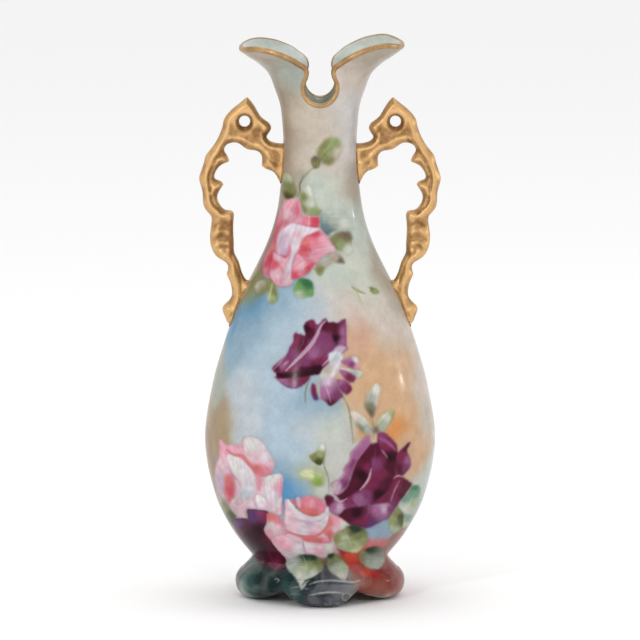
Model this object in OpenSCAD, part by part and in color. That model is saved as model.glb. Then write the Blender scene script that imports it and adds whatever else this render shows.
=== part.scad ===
// Two-handled porcelain flower vase: a bottle-shaped body with a split, flared mouth,
// a pair of pierced scroll handles and a foot of four rolls. Millimetres, +Z up,
// origin on the ground under the middle of the body, handles along X, front at -Y.

/* [Body] */
// Height of the mouth above the ground, at the highest point of its lips
height = 321.5; // [300:0.5:340]
// Diameter of the belly at its widest
belly_d = 131.8; // [122:0.2:142]
// Outer diameter of the neck at its narrowest
neck_d = 41.8; // [39:0.2:45]
// Thickness of the cast porcelain wall
wall = 3; // [2.4:0.2:3.6]

/* [Mouth] */
// Length of the mouth from lip tip to lip tip
mouth_l = 96.2; // [90:0.2:102]
// Depth of the mouth from front to back
mouth_d = 69; // [60:1:74]
// Radius of the round keyhole between the lips
keyhole_r = 8.9; // [7.5:0.1:9.5]
// Width of the throat above the keyhole
throat_w = 12.8; // [11:0.2:14]
// How much higher the right lip stands than the left
lip_lean = 2.4; // [0:0.2:3]
// Thickness of the gold on the cut edge of the mouth
gilding = 0.3; // [0.2:0.1:0.5]

/* [Foot] */
// Width across two opposite rolls
foot_w = 98.6; // [94:0.2:104]
// Radius of each roll
roll_r = 11.3; // [10.5:0.1:12]
// Length of each roll, round ends included
roll_l = 42; // [38:1:46]
// Diameter of the foot where it meets the body
waist_d = 77.4; // [74:0.2:80]
// Diameter of the recess under the foot
recess_d = 66; // [60:1:68]

/* [Handles] */
// Thickness of the handles from front to back
handle_t = 11; // [9:0.5:13]
// Diameter of the eye through the head of each handle
eye_d = 6.2; // [5:0.1:7]
// Thickness of the slip that lutes the cast pieces together
lute = 0.6; // [0.4:0.1:1]

/* [Hidden] */

belly_r = belly_d / 2;
neck_r = neck_d / 2;
waist_r = waist_d / 2;
glaze_white = [0.93, 0.92, 0.88];
slip_white = [0.88, 0.86, 0.80];
gold = [0.75, 0.54, 0.27];
foot_green = [0.27, 0.34, 0.32];

waist_z = 0.0752 * height;
neck_z = 0.8235 * height;
lip_z = height - lip_lean / 2;
throat_r = throat_w / 2;

// Facets round the body, and bands of facets up it; the shoulder is the top of one band.
body_facets = 96;
body_bands = 56;
shoulder_band = 36;
// How far a cutting shape runs past what it cuts, and half the width of the widest ones.
over = 1;
clear_x = 60;

// Outline of the body between waist and neck: share of the height, share of the way
// from the neck's radius to the belly's.
body_shares = [[0.118, 0.636], [0.182, 0.865], [0.279, 1], [0.378, 0.909], [0.464, 0.736],
               [0.538, 0.541], [0.628, 0.228], [0.687, 0.089], [0.758, 0.022]];
body_curve = concat([[waist_z, waist_r]],
                    [for (s = body_shares) [s[0] * height, neck_r + s[1] * (belly_r - neck_r)]],
                    [[neck_z, neck_r]]);

// Outline of the mouth above the neck: height below the lips, share of the way from the
// neck's radius to the mouth's, seen from the front and from the side.
flare_x = [[38, 0.06], [27.5, 0.18], [18, 0.33], [12, 0.56], [8, 0.78], [4, 0.97], [-1, 1.1]];
flare_y = [[38, 0.03], [27.5, 0.08], [18, 0.16], [14, 0.3], [11, 0.55], [7, 0.84], [-1, 1]];
curve_x = flare_table(flare_x, mouth_l / 2);
curve_y = flare_table(flare_y, mouth_d / 2);
function flare_table(shares, limit) =
    concat([[neck_z, neck_r]], [for (s = shares) [lip_z - s[0], neck_r + s[1] * (limit - neck_r)]]);

// Edge of the mouth on one side, seen from the front: distance from the axis, height
// below the lips. It runs from the throat outwards.
lip_edge = [[throat_r, 16.5], [7.4, 13.2], [9.5, 11], [13, 8.6], [18, 5.6],
            [25, 2.4], [33, 0.4], [39, 0], [45, 1.2], [clear_x, 6]];
// Middle of the keyhole, where its arc meets the throat and the step of its facets, degrees.
keyhole_z = lip_z - 25.2;
keyhole_end = 40;
keyhole_step = 13;
// Distance from the axis over which the lean of the lips grows to its full height.
lean_reach = 40;
// The mouth's sections turn from round to squarish over a height that starts here.
squaring_z = keyhole_z - 4;
squaring_l = 16;
most_squared = 0.5;

// Outline of the left handle, seen from the front: distance outwards from the axis and
// height. Each run is smooth, and the runs meet at corners, thorns and tips. Both ends
// lie inside the body, whose surface cuts them off.
handle_runs = [
    // finial and outer edge of the head
    [[41.6, 288], [45, 285], [51, 280.2], [54.7, 275.3], [55.6, 270.9], [57.8, 265.2], [60.8, 260], [65.2, 254.6]],
    // outer edge of the bow, down to its heel
    [[65.2, 254.6], [66.5, 249.2], [68.7, 243], [68.8, 239.5], [67, 233.3], [66.9, 227.5], [65.6, 223.6], [62.2, 219.6]],
    // outer edge of the block
    [[62.2, 219.6], [61.8, 216.8], [62.7, 210.3], [62.6, 203.2], [59.5, 196.4], [53.8, 192.8], [52.4, 189.8],
     [53.5, 186]],
    // outer edge of the tail, with its lower scroll
    [[53.5, 186], [51.2, 181.1], [50.2, 174.8], [51.8, 171.2], [55.1, 168], [55.8, 165.2], [54, 160.6],
     [52, 156], [47, 153]],
    // end of the tail, inside the body
    [[47, 153], [33, 178]],
    // inner edge of the tail and of the block
    [[33, 178], [40.4, 182], [42.6, 183.2], [44.7, 187.3], [46.4, 193.4], [49, 198.4], [49.1, 203], [49.6, 213],
     [49, 219.8]],
    // inner edge of the heel
    [[49, 219.8], [50, 222.6], [54.6, 223.2], [57.9, 227.4], [58.6, 231], [57.4, 234], [55, 237.6]],
    // lower thorn to upper thorn
    [[55, 237.6], [56.4, 239.6], [59.8, 240.8], [60.2, 243], [59, 245.8], [56.4, 248.9], [51.6, 250.8]],
    // upper thorn to the arch under the head, and along the arm to the neck
    [[51.6, 250.8], [52.8, 254.2], [54.8, 257.4], [53, 260.6], [48.6, 261.8], [45.1, 260.4], [41.6, 257.8],
     [36, 257], [33.4, 254.6], [33, 251.6], [33.3, 248.4]],
    // bracket under the arm
    [[33.3, 248.4], [31, 246.6], [27, 245.2], [24.4, 242], [22.6, 238.6], [17, 236]],
    // end of the arm, inside the neck
    [[17, 236], [17, 261.4]],
    // top of the arm, the beak and the inner edge of the head
    [[17, 261.4], [22.7, 261.3], [28, 262.4], [30.5, 265], [29, 267.4], [27.7, 270.3], [29.4, 273.4],
     [33.6, 276.4], [36.4, 281.2], [39, 285.2], [41.6, 288]],
];
// Where the eye goes through the head.
eye = [43, 274];
// Height that parts a handle's upper joint from its lower one, and what either may reach.
joint_split_z = 215;
joint_reach = 120;

// Value of a smooth curve through the points of a table of [position, value] at a position.
function curve_span(at, table, i = 0) =
    i >= len(table) - 2 || at <= table[i + 1][0] ? i : curve_span(at, table, i + 1);
function curve_slope(table, i) =
    let (a = table[max(i - 1, 0)], b = table[min(i + 1, len(table) - 1)]) (b[1] - a[1]) / (b[0] - a[0]);
function curve_at(at, table) =
    let (i = curve_span(at, table), p = table[i], q = table[i + 1], span = q[0] - p[0], t = (at - p[0]) / span)
    (1 + 2 * t) * pow(1 - t, 2) * p[1] + t * pow(1 - t, 2) * span * curve_slope(table, i)
    + t * t * (3 - 2 * t) * q[1] + t * t * (t - 1) * span * curve_slope(table, i + 1);

// Points of a smooth run through given points, without its last point.
function run_point(run, i, t) =
    let (p = run[max(i - 1, 0)], q = run[i], r = run[i + 1], s = run[min(i + 2, len(run) - 1)])
    0.5 * (2 * q + (r - p) * t + (2 * p - 5 * q + 4 * r - s) * t * t + (3 * q - p - 3 * r + s) * t * t * t);
function smooth_run(run, steps) =
    len(run) == 2 ? [run[0]] : [for (i = [0 : len(run) - 2], k = [0 : steps - 1]) run_point(run, i, k / steps)];
function smooth_outline(runs, steps) = [for (run = runs, p = smooth_run(run, steps)) p];

// The body as a solid of revolution between two heights, grown by a distance along its
// surface's normal. Bands at fixed heights make every cut of it share the same facets.
function band_z(i) = waist_z + (neck_z - waist_z) * i / body_bands;
shoulder_z = band_z(shoulder_band);
module body_solid(out = 0, low = waist_z, high = neck_z) {
    heights = concat([low], [for (i = [1 : body_bands - 1]) if (band_z(i) > low && band_z(i) < high) band_z(i)],
                     [high]);
    rotate_extrude($fn = body_facets)
        polygon(concat([[0, low]],
                       [for (z = heights)
                           let (slope = curve_at(z + 0.5, body_curve) - curve_at(z - 0.5, body_curve))
                           [curve_at(z, body_curve) + out * sqrt(1 + slope * slope), z]],
                       [[0, high]]));
}
module body_hollow() {
    body_solid(out = -wall, low = waist_z + wall, high = neck_z - over / 1000);
    translate([0, 0, neck_z - over]) cylinder(r = neck_r - wall, h = 2 * over, $fn = body_facets);
}

// The casting's closed belly, below the shoulder.
module belly_shell() {
    color(glaze_white)
        difference() {
            body_solid(high = shoulder_z);
            body_hollow();
        }
}

// The casting from the shoulder up to where the mouth begins to flare.
module neck_shell() {
    color(glaze_white)
        difference() {
            body_solid(low = shoulder_z);
            body_hollow();
        }
}

// One point of the mouth's outer surface: the sections are round at the neck and turn
// into rounded oblongs at the lips.
function squareness(z) = 2 + most_squared * min(max((z - squaring_z) / squaring_l, 0), 1);
function mouth_point(turn, z) =
    let (n = squareness(z), c = cos(turn), s = sin(turn),
         r = pow(pow(abs(c) / curve_at(z, curve_x), n) + pow(abs(s) / curve_at(z, curve_y), n), -1 / n))
    [r * c, r * s, z];
function unit(v) = v / norm(v);
function mouth_normal(turn, z) =
    unit(cross(mouth_point(turn + 1, z) - mouth_point(turn - 1, z),
               mouth_point(turn, z + 0.2) - mouth_point(turn, z - 0.2)));
function mouth_inside(turn, z) =
    let (n = z == neck_z ? unit(mouth_point(turn, z) - [0, 0, z]) : mouth_normal(turn, z))
    mouth_point(turn, z) - wall * n;

// The flared mouth before it is cut: outer and inner skins joined top and bottom.
module mouth_blank(around = 72, up = 15) {
    top_z = lip_z + 3;
    heights = [for (j = [0 : up]) neck_z + (top_z - neck_z) * pow(j / up, 0.8)];
    rings = concat([for (z = heights) [for (i = [0 : around - 1]) mouth_point(360 * i / around, z)]],
                   [for (j = [up : -1 : 0]) [for (i = [0 : around - 1]) mouth_inside(360 * i / around, heights[j])]]);
    count = len(rings);
    polyhedron(points = [for (ring = rings, p = ring) p],
               faces = [for (j = [0 : count - 1], i = [0 : around - 1], half = [0, 1])
                   let (a = j * around + i, b = j * around + (i + 1) % around,
                        k = (j + 1) % count, c = k * around + i, d = k * around + (i + 1) % around)
                   half == 0 ? [a, c, b] : [b, c, d]],
               convexity = 8);
}

// What is kept of the mouth, seen from the front: a lip's edge runs from its outer end
// to the throat, and on round the keyhole to its lowest point.
function lip_side(side) =
    let (edge = smooth_run(lip_edge, 4))
    [for (p = concat([for (i = [len(edge) - 1 : -1 : 0]) [edge[i][0], lip_z - edge[i][1]]],
                     [for (a = [keyhole_end : -keyhole_step : keyhole_step - 90]) keyhole_point(a)]))
        [side * p[0], p[1] + side * lean(p[0], p[1])]];
module mouth_outline() {
    right = lip_side(1);
    left = lip_side(-1);
    polygon(concat([[-clear_x, neck_z - over], [clear_x, neck_z - over]], right, [keyhole_point(-90)],
                   [for (i = [len(left) - 1 : -1 : 0]) left[i]]));
}
module through_mouth() {
    rotate([90, 0, 0]) linear_extrude(height = 2 * mouth_d, center = true) children();
}
function keyhole_point(a) = [keyhole_r * cos(a), keyhole_z + keyhole_r * sin(a)];
// The lips lean: the right one stands higher than the left.
function lean(x, z) = z < keyhole_z ? 0 : lip_lean / 2 * min(x / lean_reach, 1);

module mouth_lips() {
    color(glaze_white)
        intersection() {
            mouth_blank();
            through_mouth() mouth_outline();
        }
}

// The gold on the cut edge of the mouth: a skin as wide as the wall.
module rim_gilding() {
    color(gold)
        intersection() {
            mouth_blank();
            through_mouth()
                difference() {
                    offset(r = gilding) mouth_outline();
                    mouth_outline();
                    translate([-clear_x, neck_z - 5 * over]) square([2 * clear_x, 5.5 * over]);
                }
        }
}

module foot_lute_ring() {
    color(slip_white)
        translate([0, 0, waist_z - lute])
            difference() {
                cylinder(r = waist_r - lute / 2, h = lute, $fn = body_facets);
                translate([0, 0, -over]) cylinder(d = recess_d, h = lute + 2 * over, $fn = body_facets);
            }
}

// A roll lies along Y with its middle at the origin.
module roll() {
    reach = roll_l / 2 - roll_r;
    arc = [for (a = [0 : 7.5 : 90]) [roll_r * cos(a), reach + roll_r * sin(a)]];
    rotate([90, 0, 0])
        rotate_extrude($fn = 64)
            polygon(concat(arc, [for (i = [len(arc) - 1 : -1 : 0]) [arc[i][0], -arc[i][1]]]));
}

// Four rolls round a skirt, ground flat underneath so that each rests on a narrow facet.
module foot() {
    top_z = waist_z - lute;
    sink = 0.8;
    skirt = [[0, 6], [waist_r - 1, 6], [waist_r + 3, 9], [waist_r + 3.4, 13], [waist_r + 1, 18],
             [waist_r - lute / 2, top_z], [0, top_z]];
    color(foot_green)
        difference() {
            union() {
                rotate_extrude($fn = body_facets) polygon(skirt);
                for (turn = [0 : 90 : 270])
                    rotate(turn) translate([foot_w / 2 - roll_r, 0, roll_r - sink]) roll();
            }
            translate([0, 0, -over]) cylinder(d = recess_d, h = waist_z + 2 * over, $fn = body_facets);
            translate([0, 0, -over]) cube([2 * foot_w, 2 * foot_w, 2 * over], center = true);
        }
}

// The left handle's blank, before its ends are cut off by the body.
module handle_blank() {
    rotate([90, 0, 0])
        linear_extrude(height = handle_t, center = true)
            difference() {
                polygon([for (p = smooth_outline(handle_runs, 2)) [-p[0], p[1]]]);
                translate([-eye[0], eye[1]]) circle(d = eye_d, $fn = 48);
            }
}

module handle() {
    color(gold)
        difference() {
            handle_blank();
            body_solid(out = lute);
        }
}

// The skin of slip between a handle and the body, above or below the split height.
module handle_lute(upper) {
    color(slip_white)
        intersection() {
            handle_blank();
            difference() {
                body_solid(out = lute);
                body_solid();
            }
            translate([-belly_r, 0, joint_split_z + (upper ? joint_reach : -joint_reach) / 2])
                cube([2 * belly_r, 2 * handle_t, joint_reach], center = true);
        }
}

module on_right() {
    mirror([1, 0, 0]) children();
}

belly_shell();
neck_shell();
mouth_lips();
rim_gilding();
foot();
foot_lute_ring();
handle();  // handle_left
on_right() handle();  // handle_right
handle_lute(true);  // lute_left_upper
handle_lute(false);  // lute_left_lower
on_right() handle_lute(true);  // lute_right_upper
on_right() handle_lute(false);  // lute_right_lower
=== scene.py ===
# %% [markdown]
# # A two-handled porcelain flower vase
# This lesson dresses a packed vase: a slip-cast bottle with a split, flared mouth, two
# pierced scroll handles and a foot of four lobes. The shapes are porcelain, but what the
# eye sees is the decorator's work: roses and leaves painted over the glaze, and matt gold
# on the handles and on the cut edge of the mouth. We start by loading the frame, which
# fixes every size, and we keep its box so that nothing we add outgrows it.

# %% Load the frame
import math

import bmesh
import bpy
import numpy as np
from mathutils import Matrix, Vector
from mathutils.geometry import delaunay_2d_cdt


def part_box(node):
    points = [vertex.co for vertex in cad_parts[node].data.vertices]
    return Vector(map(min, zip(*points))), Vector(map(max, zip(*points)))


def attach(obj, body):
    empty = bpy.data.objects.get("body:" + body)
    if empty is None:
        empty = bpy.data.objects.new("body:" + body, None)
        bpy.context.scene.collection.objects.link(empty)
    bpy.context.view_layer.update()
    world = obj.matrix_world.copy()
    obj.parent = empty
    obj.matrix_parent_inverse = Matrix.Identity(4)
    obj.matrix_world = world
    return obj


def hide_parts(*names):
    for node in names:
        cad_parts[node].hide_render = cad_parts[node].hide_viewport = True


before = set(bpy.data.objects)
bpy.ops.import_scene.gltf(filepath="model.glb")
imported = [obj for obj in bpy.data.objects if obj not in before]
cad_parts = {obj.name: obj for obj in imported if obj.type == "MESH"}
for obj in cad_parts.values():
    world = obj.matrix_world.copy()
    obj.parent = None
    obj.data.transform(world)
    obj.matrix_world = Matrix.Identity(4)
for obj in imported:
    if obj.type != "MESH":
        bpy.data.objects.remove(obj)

MM = 0.001
for leftover in ("Cube", "Light", "Camera"):
    if leftover in bpy.data.objects:
        bpy.data.objects.remove(bpy.data.objects[leftover])
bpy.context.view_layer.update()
belly_low, belly_high = (np.array(corner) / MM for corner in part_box("belly_shell"))
neck_high = np.array(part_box("neck_shell")[1]) / MM
mouth_low, mouth_high = (np.array(corner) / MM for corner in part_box("mouth_lips"))
foot_low, foot_high = (np.array(corner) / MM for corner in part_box("foot"))
print("belly, mouth and foot, mm:", belly_high - belly_low, mouth_high - mouth_low, foot_high - foot_low)

# %% [markdown]
# ## The shape of the body
# A caster turns the master of such a vase on a lathe from a drawn outline, then opens the
# mouth by hand. The outline is a list of a few heights and radii with a smooth curve
# through them. Above the neck the round section turns into a rounded oblong, because the
# lips reach further to the sides than to the front. One function gives the wall's
# radius for any turn and height, and every skin of the body is laid on it.

# %% The outline and the wall
LIP_LEAN = 2.4
SIDE_CLEARANCE = 0.05
belly_r = belly_high[0] - SIDE_CLEARANCE
waist_z = belly_low[2]
neck_z = neck_high[2]
lip_z = mouth_high[2] - LIP_LEAN / 2
height = lip_z + LIP_LEAN / 2
neck_r = 20.9
waist_r = 38.7
wall = 3.0
# The body's outline, as share of the height and share of the way from neck to belly.
BODY_SHARES = [(0.118, 0.636), (0.182, 0.865), (0.279, 1), (0.378, 0.909), (0.464, 0.736),
               (0.538, 0.541), (0.628, 0.228), (0.687, 0.089), (0.758, 0.022)]
# The flare above the neck, as depth under the lips and share of the way out to the lips.
FLARE_SIDE = [(38, 0.06), (27.5, 0.18), (18, 0.33), (12, 0.56), (8, 0.78), (4, 0.97), (-1, 1.1)]
FLARE_FRONT = [(38, 0.03), (27.5, 0.08), (18, 0.16), (14, 0.3), (11, 0.55), (7, 0.84), (-1, 1)]
MOUTH_HALF_LENGTH = 48.1
MOUTH_HALF_DEPTH = 34.5


def smooth_curve(at, table):
    """Values of a smooth curve through (position, value) points."""
    at = np.asarray(at, float)
    x, y = np.asarray(table, float).T
    slope = np.empty_like(y)
    slope[1:-1] = (y[2:] - y[:-2]) / (x[2:] - x[:-2])
    slope[0] = (y[1] - y[0]) / (x[1] - x[0])
    slope[-1] = (y[-1] - y[-2]) / (x[-1] - x[-2])
    i = np.clip(np.searchsorted(x, at) - 1, 0, len(x) - 2)
    span = x[i + 1] - x[i]
    t = (at - x[i]) / span
    return ((1 + 2 * t) * (1 - t) ** 2 * y[i] + t * (1 - t) ** 2 * span * slope[i]
            + t * t * (3 - 2 * t) * y[i + 1] + t * t * (t - 1) * span * slope[i + 1])


body_table = ([(waist_z, waist_r)]
              + [(h * height, neck_r + s * (belly_r - neck_r)) for h, s in BODY_SHARES]
              + [(neck_z, neck_r)])
side_table, front_table = (
    [(neck_z, neck_r)] + [(lip_z - below, neck_r + s * (limit - neck_r)) for below, s in flare]
    for flare, limit in ((FLARE_SIDE, MOUTH_HALF_LENGTH), (FLARE_FRONT, MOUTH_HALF_DEPTH)))
KEYHOLE_Z = lip_z - 25.2
KEYHOLE_R = 8.9


def wall_point(turn, z):
    """A point of the outer wall in mm, for turns in radians from +X and heights."""
    turn, z = np.broadcast_arrays(np.asarray(turn, float), np.asarray(z, float))
    body = smooth_curve(z, body_table)
    side = np.where(z < neck_z, body, smooth_curve(z, side_table))
    front = np.where(z < neck_z, body, smooth_curve(z, front_table))
    n = 2 + 0.5 * np.clip((z - KEYHOLE_Z + 4) / 16, 0, 1)
    c, s = np.cos(turn), np.sin(turn)
    r = ((np.abs(c) / side) ** n + (np.abs(s) / front) ** n) ** (-1 / n)
    return np.stack([r * c, r * s, z], -1)


def wall_normal(turn, z):
    """Outward unit normals of the outer wall."""
    along = wall_point(turn + 0.004, z) - wall_point(turn - 0.004, z)
    up = wall_point(turn, z + 0.15) - wall_point(turn, z - 0.15)
    n = np.cross(along, up)
    return n / np.linalg.norm(n, axis=-1, keepdims=True)


print("wall at the belly:", wall_point(0, 0.279 * height).round(1))

# %% [markdown]
# ## Helpers that make meshes
# Every skin below is a grid of points that closes on itself, so it is watertight without
# any merging. We shade all of it smooth. Short helpers put a thing in the scene, list the
# faces of a grid and read back a piece's points.

# %% Mesh helpers
def put_in(name, data):
    """A new object that shows the given data, in the scene."""
    thing = bpy.data.objects.new(name, data)
    bpy.context.scene.collection.objects.link(thing)
    return thing


def new_piece(name, points, faces):
    """A mesh object from points in mm."""
    mesh = bpy.data.meshes.new(name)
    mesh.from_pydata((np.asarray(points, float) * MM).tolist(), [], faces)
    mesh.polygons.foreach_set("use_smooth", [True] * len(mesh.polygons))
    mesh.update()
    print(f"{name}: {len(mesh.vertices)} points, {len(faces)} faces")
    return put_in(name, mesh)


def loop_faces(rings, columns, closed=True):
    """Quads of a grid whose rings run round and whose last ring may join the first."""
    faces = []
    for j in range(rings if closed else rings - 1):
        a, b = j * columns, ((j + 1) % rings) * columns
        for i in range(columns):
            k = (i + 1) % columns
            faces.append((a + i, a + k, b + k, b + i))
    return faces


def points_mm(piece):
    """A piece's points in mm."""
    flat = np.empty(len(piece.data.vertices) * 3)
    piece.data.vertices.foreach_get("co", flat)
    return flat.reshape(-1, 3) / MM


# %% [markdown]
# ## Where the mouth is cut
# After casting, the blank is leather-hard and its flared top is cut with a knife: a round
# keyhole front and back, a throat above it, and a long curve out along each lip. Seen
# from the front the cut is one line, so we describe it as a path of distance from the
# axis and depth below the lips, and slide it round onto the wall. Columns of the mouth's
# grid then rise from the neck and bend to meet that path squarely.

# %% The cut edge
# The throat and the lip's curve, as distance from the middle and depth below the lip's top.
LIP_PATH = [(6.4, 16.5), (7.4, 13.2), (9.5, 11), (13, 8.6), (18, 5.6), (25, 2.4), (33, 0.4), (39, 0),
            (45, 1.2), (60, 6)]
KEYHOLE_END = 36
LEAN_REACH = 40


def smooth_path(points, steps, closed=False):
    """Points of a smooth path through the given ones."""
    p = np.asarray(points, float)
    if closed:
        p = np.vstack([p[-1:], p, p[:2]])
    else:
        p = np.vstack([p[:1], p, p[-1:]])
    t = np.linspace(0, 1, steps, endpoint=False)[:, None]
    parts = [0.5 * (2 * b + (c - a) * t + (2 * a - 5 * b + 4 * c - d) * t * t
                    + (3 * b - a - 3 * c + d) * t ** 3)
             for a, b, c, d in zip(p[:-3], p[1:-2], p[2:-1], p[3:])]
    return np.vstack(parts if closed else parts + [p[-2:-1]])


def run_along(path):
    """The distance run from a path's start to each of its points."""
    return np.concatenate([[0], np.cumsum(np.linalg.norm(np.diff(path, axis=0), axis=1))])


def resample(path, count):
    """The same path with points at even distances."""
    path = np.asarray(path, float)
    run = run_along(path)
    at = np.linspace(0, run[-1], count)
    return np.stack([np.interp(at, run, path[:, k]) for k in range(path.shape[1])], -1)


def wall_turn(x, z, steps=60):
    """The turn in the front right quarter at which the wall lies x from the middle."""
    low, high = np.full_like(x, -math.pi / 2), np.zeros_like(x)
    for _ in range(steps):
        middle = (low + high) / 2
        inside = wall_point(middle, z)[..., 0] < x
        low, high = np.where(inside, middle, low), np.where(inside, high, middle)
    return (low + high) / 2


def cut_quarter(side, count):
    """The cut from the keyhole's lowest point to the lip's tip, as (turn, z), front right."""
    keyhole = [(KEYHOLE_R * math.cos(a), KEYHOLE_Z + KEYHOLE_R * math.sin(a))
               for a in np.radians(np.linspace(-90, KEYHOLE_END, 30))]
    lip = [(x, lip_z - below) for x, below in smooth_path(LIP_PATH, 12)]
    path = np.array(keyhole + lip)
    path[:, 1] += side * LIP_LEAN / 2 * np.clip(path[:, 0] / LEAN_REACH, 0, 1) * (path[:, 1] > KEYHOLE_Z)
    reach = wall_point(np.zeros(len(path)), path[:, 1])[:, 0]
    beyond = np.argmax(path[:, 0] > reach)
    a, b = path[beyond - 1], path[beyond]
    share = (reach[beyond - 1] - a[0]) / ((b[0] - a[0]) - (reach[beyond] - reach[beyond - 1]))
    tip = a + share * (b - a)
    path = np.vstack([path[:beyond], tip])
    reach = wall_point(np.zeros(len(path)), path[:, 1])[:, 0]
    turn = wall_turn(np.minimum(path[:, 0], reach), path[:, 1])
    turn[-1] = 0
    path = np.column_stack([turn, path[:, 1]])
    space = wall_point(path[:, 0], path[:, 1])
    run = run_along(space)
    at = np.linspace(0, run[-1], count)
    return np.stack([np.interp(at, run, path[:, k]) for k in (0, 1)], -1)


def cut_round(quarter):
    """The whole cut, once round from the middle of the front, as turns that grow and heights."""
    right, left = cut_quarter(1, quarter + 1), cut_quarter(-1, quarter + 1)
    return np.vstack([right[:-1], (right * [-1, 1])[:0:-1],
                      left[:-1] + [math.pi, 0], (left * [-1, 1])[:0:-1] + [math.pi, 0]])


print("the cut, turn and height in mm:", cut_round(4).round(2).tolist()[:3])


# %% [markdown]
# The columns of the mouth start evenly spaced round the neck and end on the cut. Straight
# ones would cross where the keyhole bulges under its own throat, so we let the grid relax
# like a net: each knot moves to a weighted middle of its neighbours, again and again. We
# stop half a wall short of the cut, because the edge of cast porcelain is rounded over.

# %% Columns from the neck to the cut
COLUMN_START_Z = 258.0
NET_ROWS = 60
NET_ROUNDS = 900


def unit(v):
    """Vectors of length one."""
    return v / np.linalg.norm(v, axis=-1, keepdims=True)


def lowered_for_edge(cut):
    """The cut, lowered along the lips so that the rounded edge tops out at it."""
    space = wall_point(cut[:, 0], cut[:, 1])
    tangent = unit(np.roll(space, -1, axis=0) - np.roll(space, 1, axis=0))
    out = wall_normal(cut[:, 0], cut[:, 1])
    rise = np.cross(out, tangent)
    excess = wall / 2 * (np.hypot(out[:, 2], rise[:, 2]) - out[:, 2] - rise[:, 2])
    on_lip = np.clip((cut[:, 1] - KEYHOLE_Z - 9) / 6, 0, 1)
    drop = np.clip(excess, 0, wall) * on_lip
    for _ in range(6):
        drop = (np.roll(drop, 1) + 2 * drop + np.roll(drop, -1)) / 4
    return cut - np.column_stack([np.zeros(len(cut)), drop])


def below_cut(cut):
    """The line on the wall where the rounding of the edge begins, half a wall short of the cut."""
    space = wall_point(cut[:, 0], cut[:, 1])
    tangent = unit(np.roll(space, -1, axis=0) - np.roll(space, 1, axis=0))
    edge = space - np.cross(wall_normal(cut[:, 0], cut[:, 1]), tangent) * wall / 2
    turn = np.arctan2(edge[:, 1], edge[:, 0])
    return np.stack([cut[:, 0] + (turn - cut[:, 0] + math.pi) % (2 * math.pi) - math.pi, edge[:, 2]], -1)


def relaxed(grid, rounds):
    """Evens out a closed grid, so that its lines bend round the keyhole and never cross."""
    lap = 2 * math.pi * neck_r
    for _ in range(rounds):
        after, before = np.roll(grid, -1, axis=1), np.roll(grid, 1, axis=1)
        after[:, -1, 0] += lap
        before[:, 0, 0] -= lap
        along, across = (after - before)[1:-1] / 2, (grid[2:] - grid[:-2]) / 2
        a, b, g = (across ** 2).sum(2), (along * across).sum(2), (along ** 2).sum(2)
        twist = after[2:] - before[2:] - after[:-2] + before[:-2]
        pull = (a[..., None] * (after + before)[1:-1] + g[..., None] * (grid[2:] + grid[:-2])
                - b[..., None] / 2 * twist)
        grid[1:-1] = pull / (2 * (a + g)[..., None])
    return grid


def mouth_columns(quarter, rows, start_z):
    """Turns and heights of a grid of rows x columns, and the cut's own points."""
    count = 4 * quarter
    cut = lowered_for_edge(cut_round(quarter))
    turn = -math.pi / 2 + np.arange(count) * 2 * math.pi / count
    start = np.stack([turn * neck_r, np.full(count, COLUMN_START_Z)], -1)
    end = below_cut(cut) * [neck_r, 1]
    bend = relaxed(start + np.linspace(0, 1, NET_ROWS)[:, None, None] * (end - start), NET_ROUNDS)
    if start_z < COLUMN_START_Z:
        low = np.linspace(start_z, COLUMN_START_Z, 24, endpoint=False)
        low = np.stack(np.broadcast_arrays(turn * neck_r, low[:, None]), -1)
        bend = np.concatenate([low, bend])
    space = wall_point(bend[..., 0] / neck_r, bend[..., 1])
    step = np.linalg.norm(np.diff(space, axis=0), axis=2)
    run = np.vstack([np.zeros(count), np.cumsum(step, axis=0)])
    grid = np.empty((rows, count, 2))
    for i in range(count):
        at = np.linspace(0, run[-1, i], rows)
        for k in (0, 1):
            grid[:, i, k] = np.interp(at, run[:, i], bend[:, i, k])
    grid[..., 0] /= neck_r
    return grid, wall_point(cut[:, 0], cut[:, 1])


def rim_frame(grid, cut_points):
    """Centres of the rounded edge, the way out of the wall and the way out of the cut."""
    top = grid[-1]
    out = wall_normal(top[:, 0], top[:, 1])
    edge = wall_point(top[:, 0], top[:, 1])
    rise = cut_points - edge
    rise = unit(rise - out * (rise * out).sum(1, keepdims=True))
    return edge - out * wall / 2, out, rise


# %% [markdown]
# ## The porcelain
# The cast shell is the piece that everything else is painted on: a closed wall, 3 mm
# thick, with a floor, a rounded cut edge and the pale glaze that shows inside the mouth.
# It is built as rings, from the middle of its base, up outside, over the edge and down
# inside to the middle of the floor.

# %% Build the porcelain shell
SKIN = 0.25
GRID_START_Z = COLUMN_START_Z - 30


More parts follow.
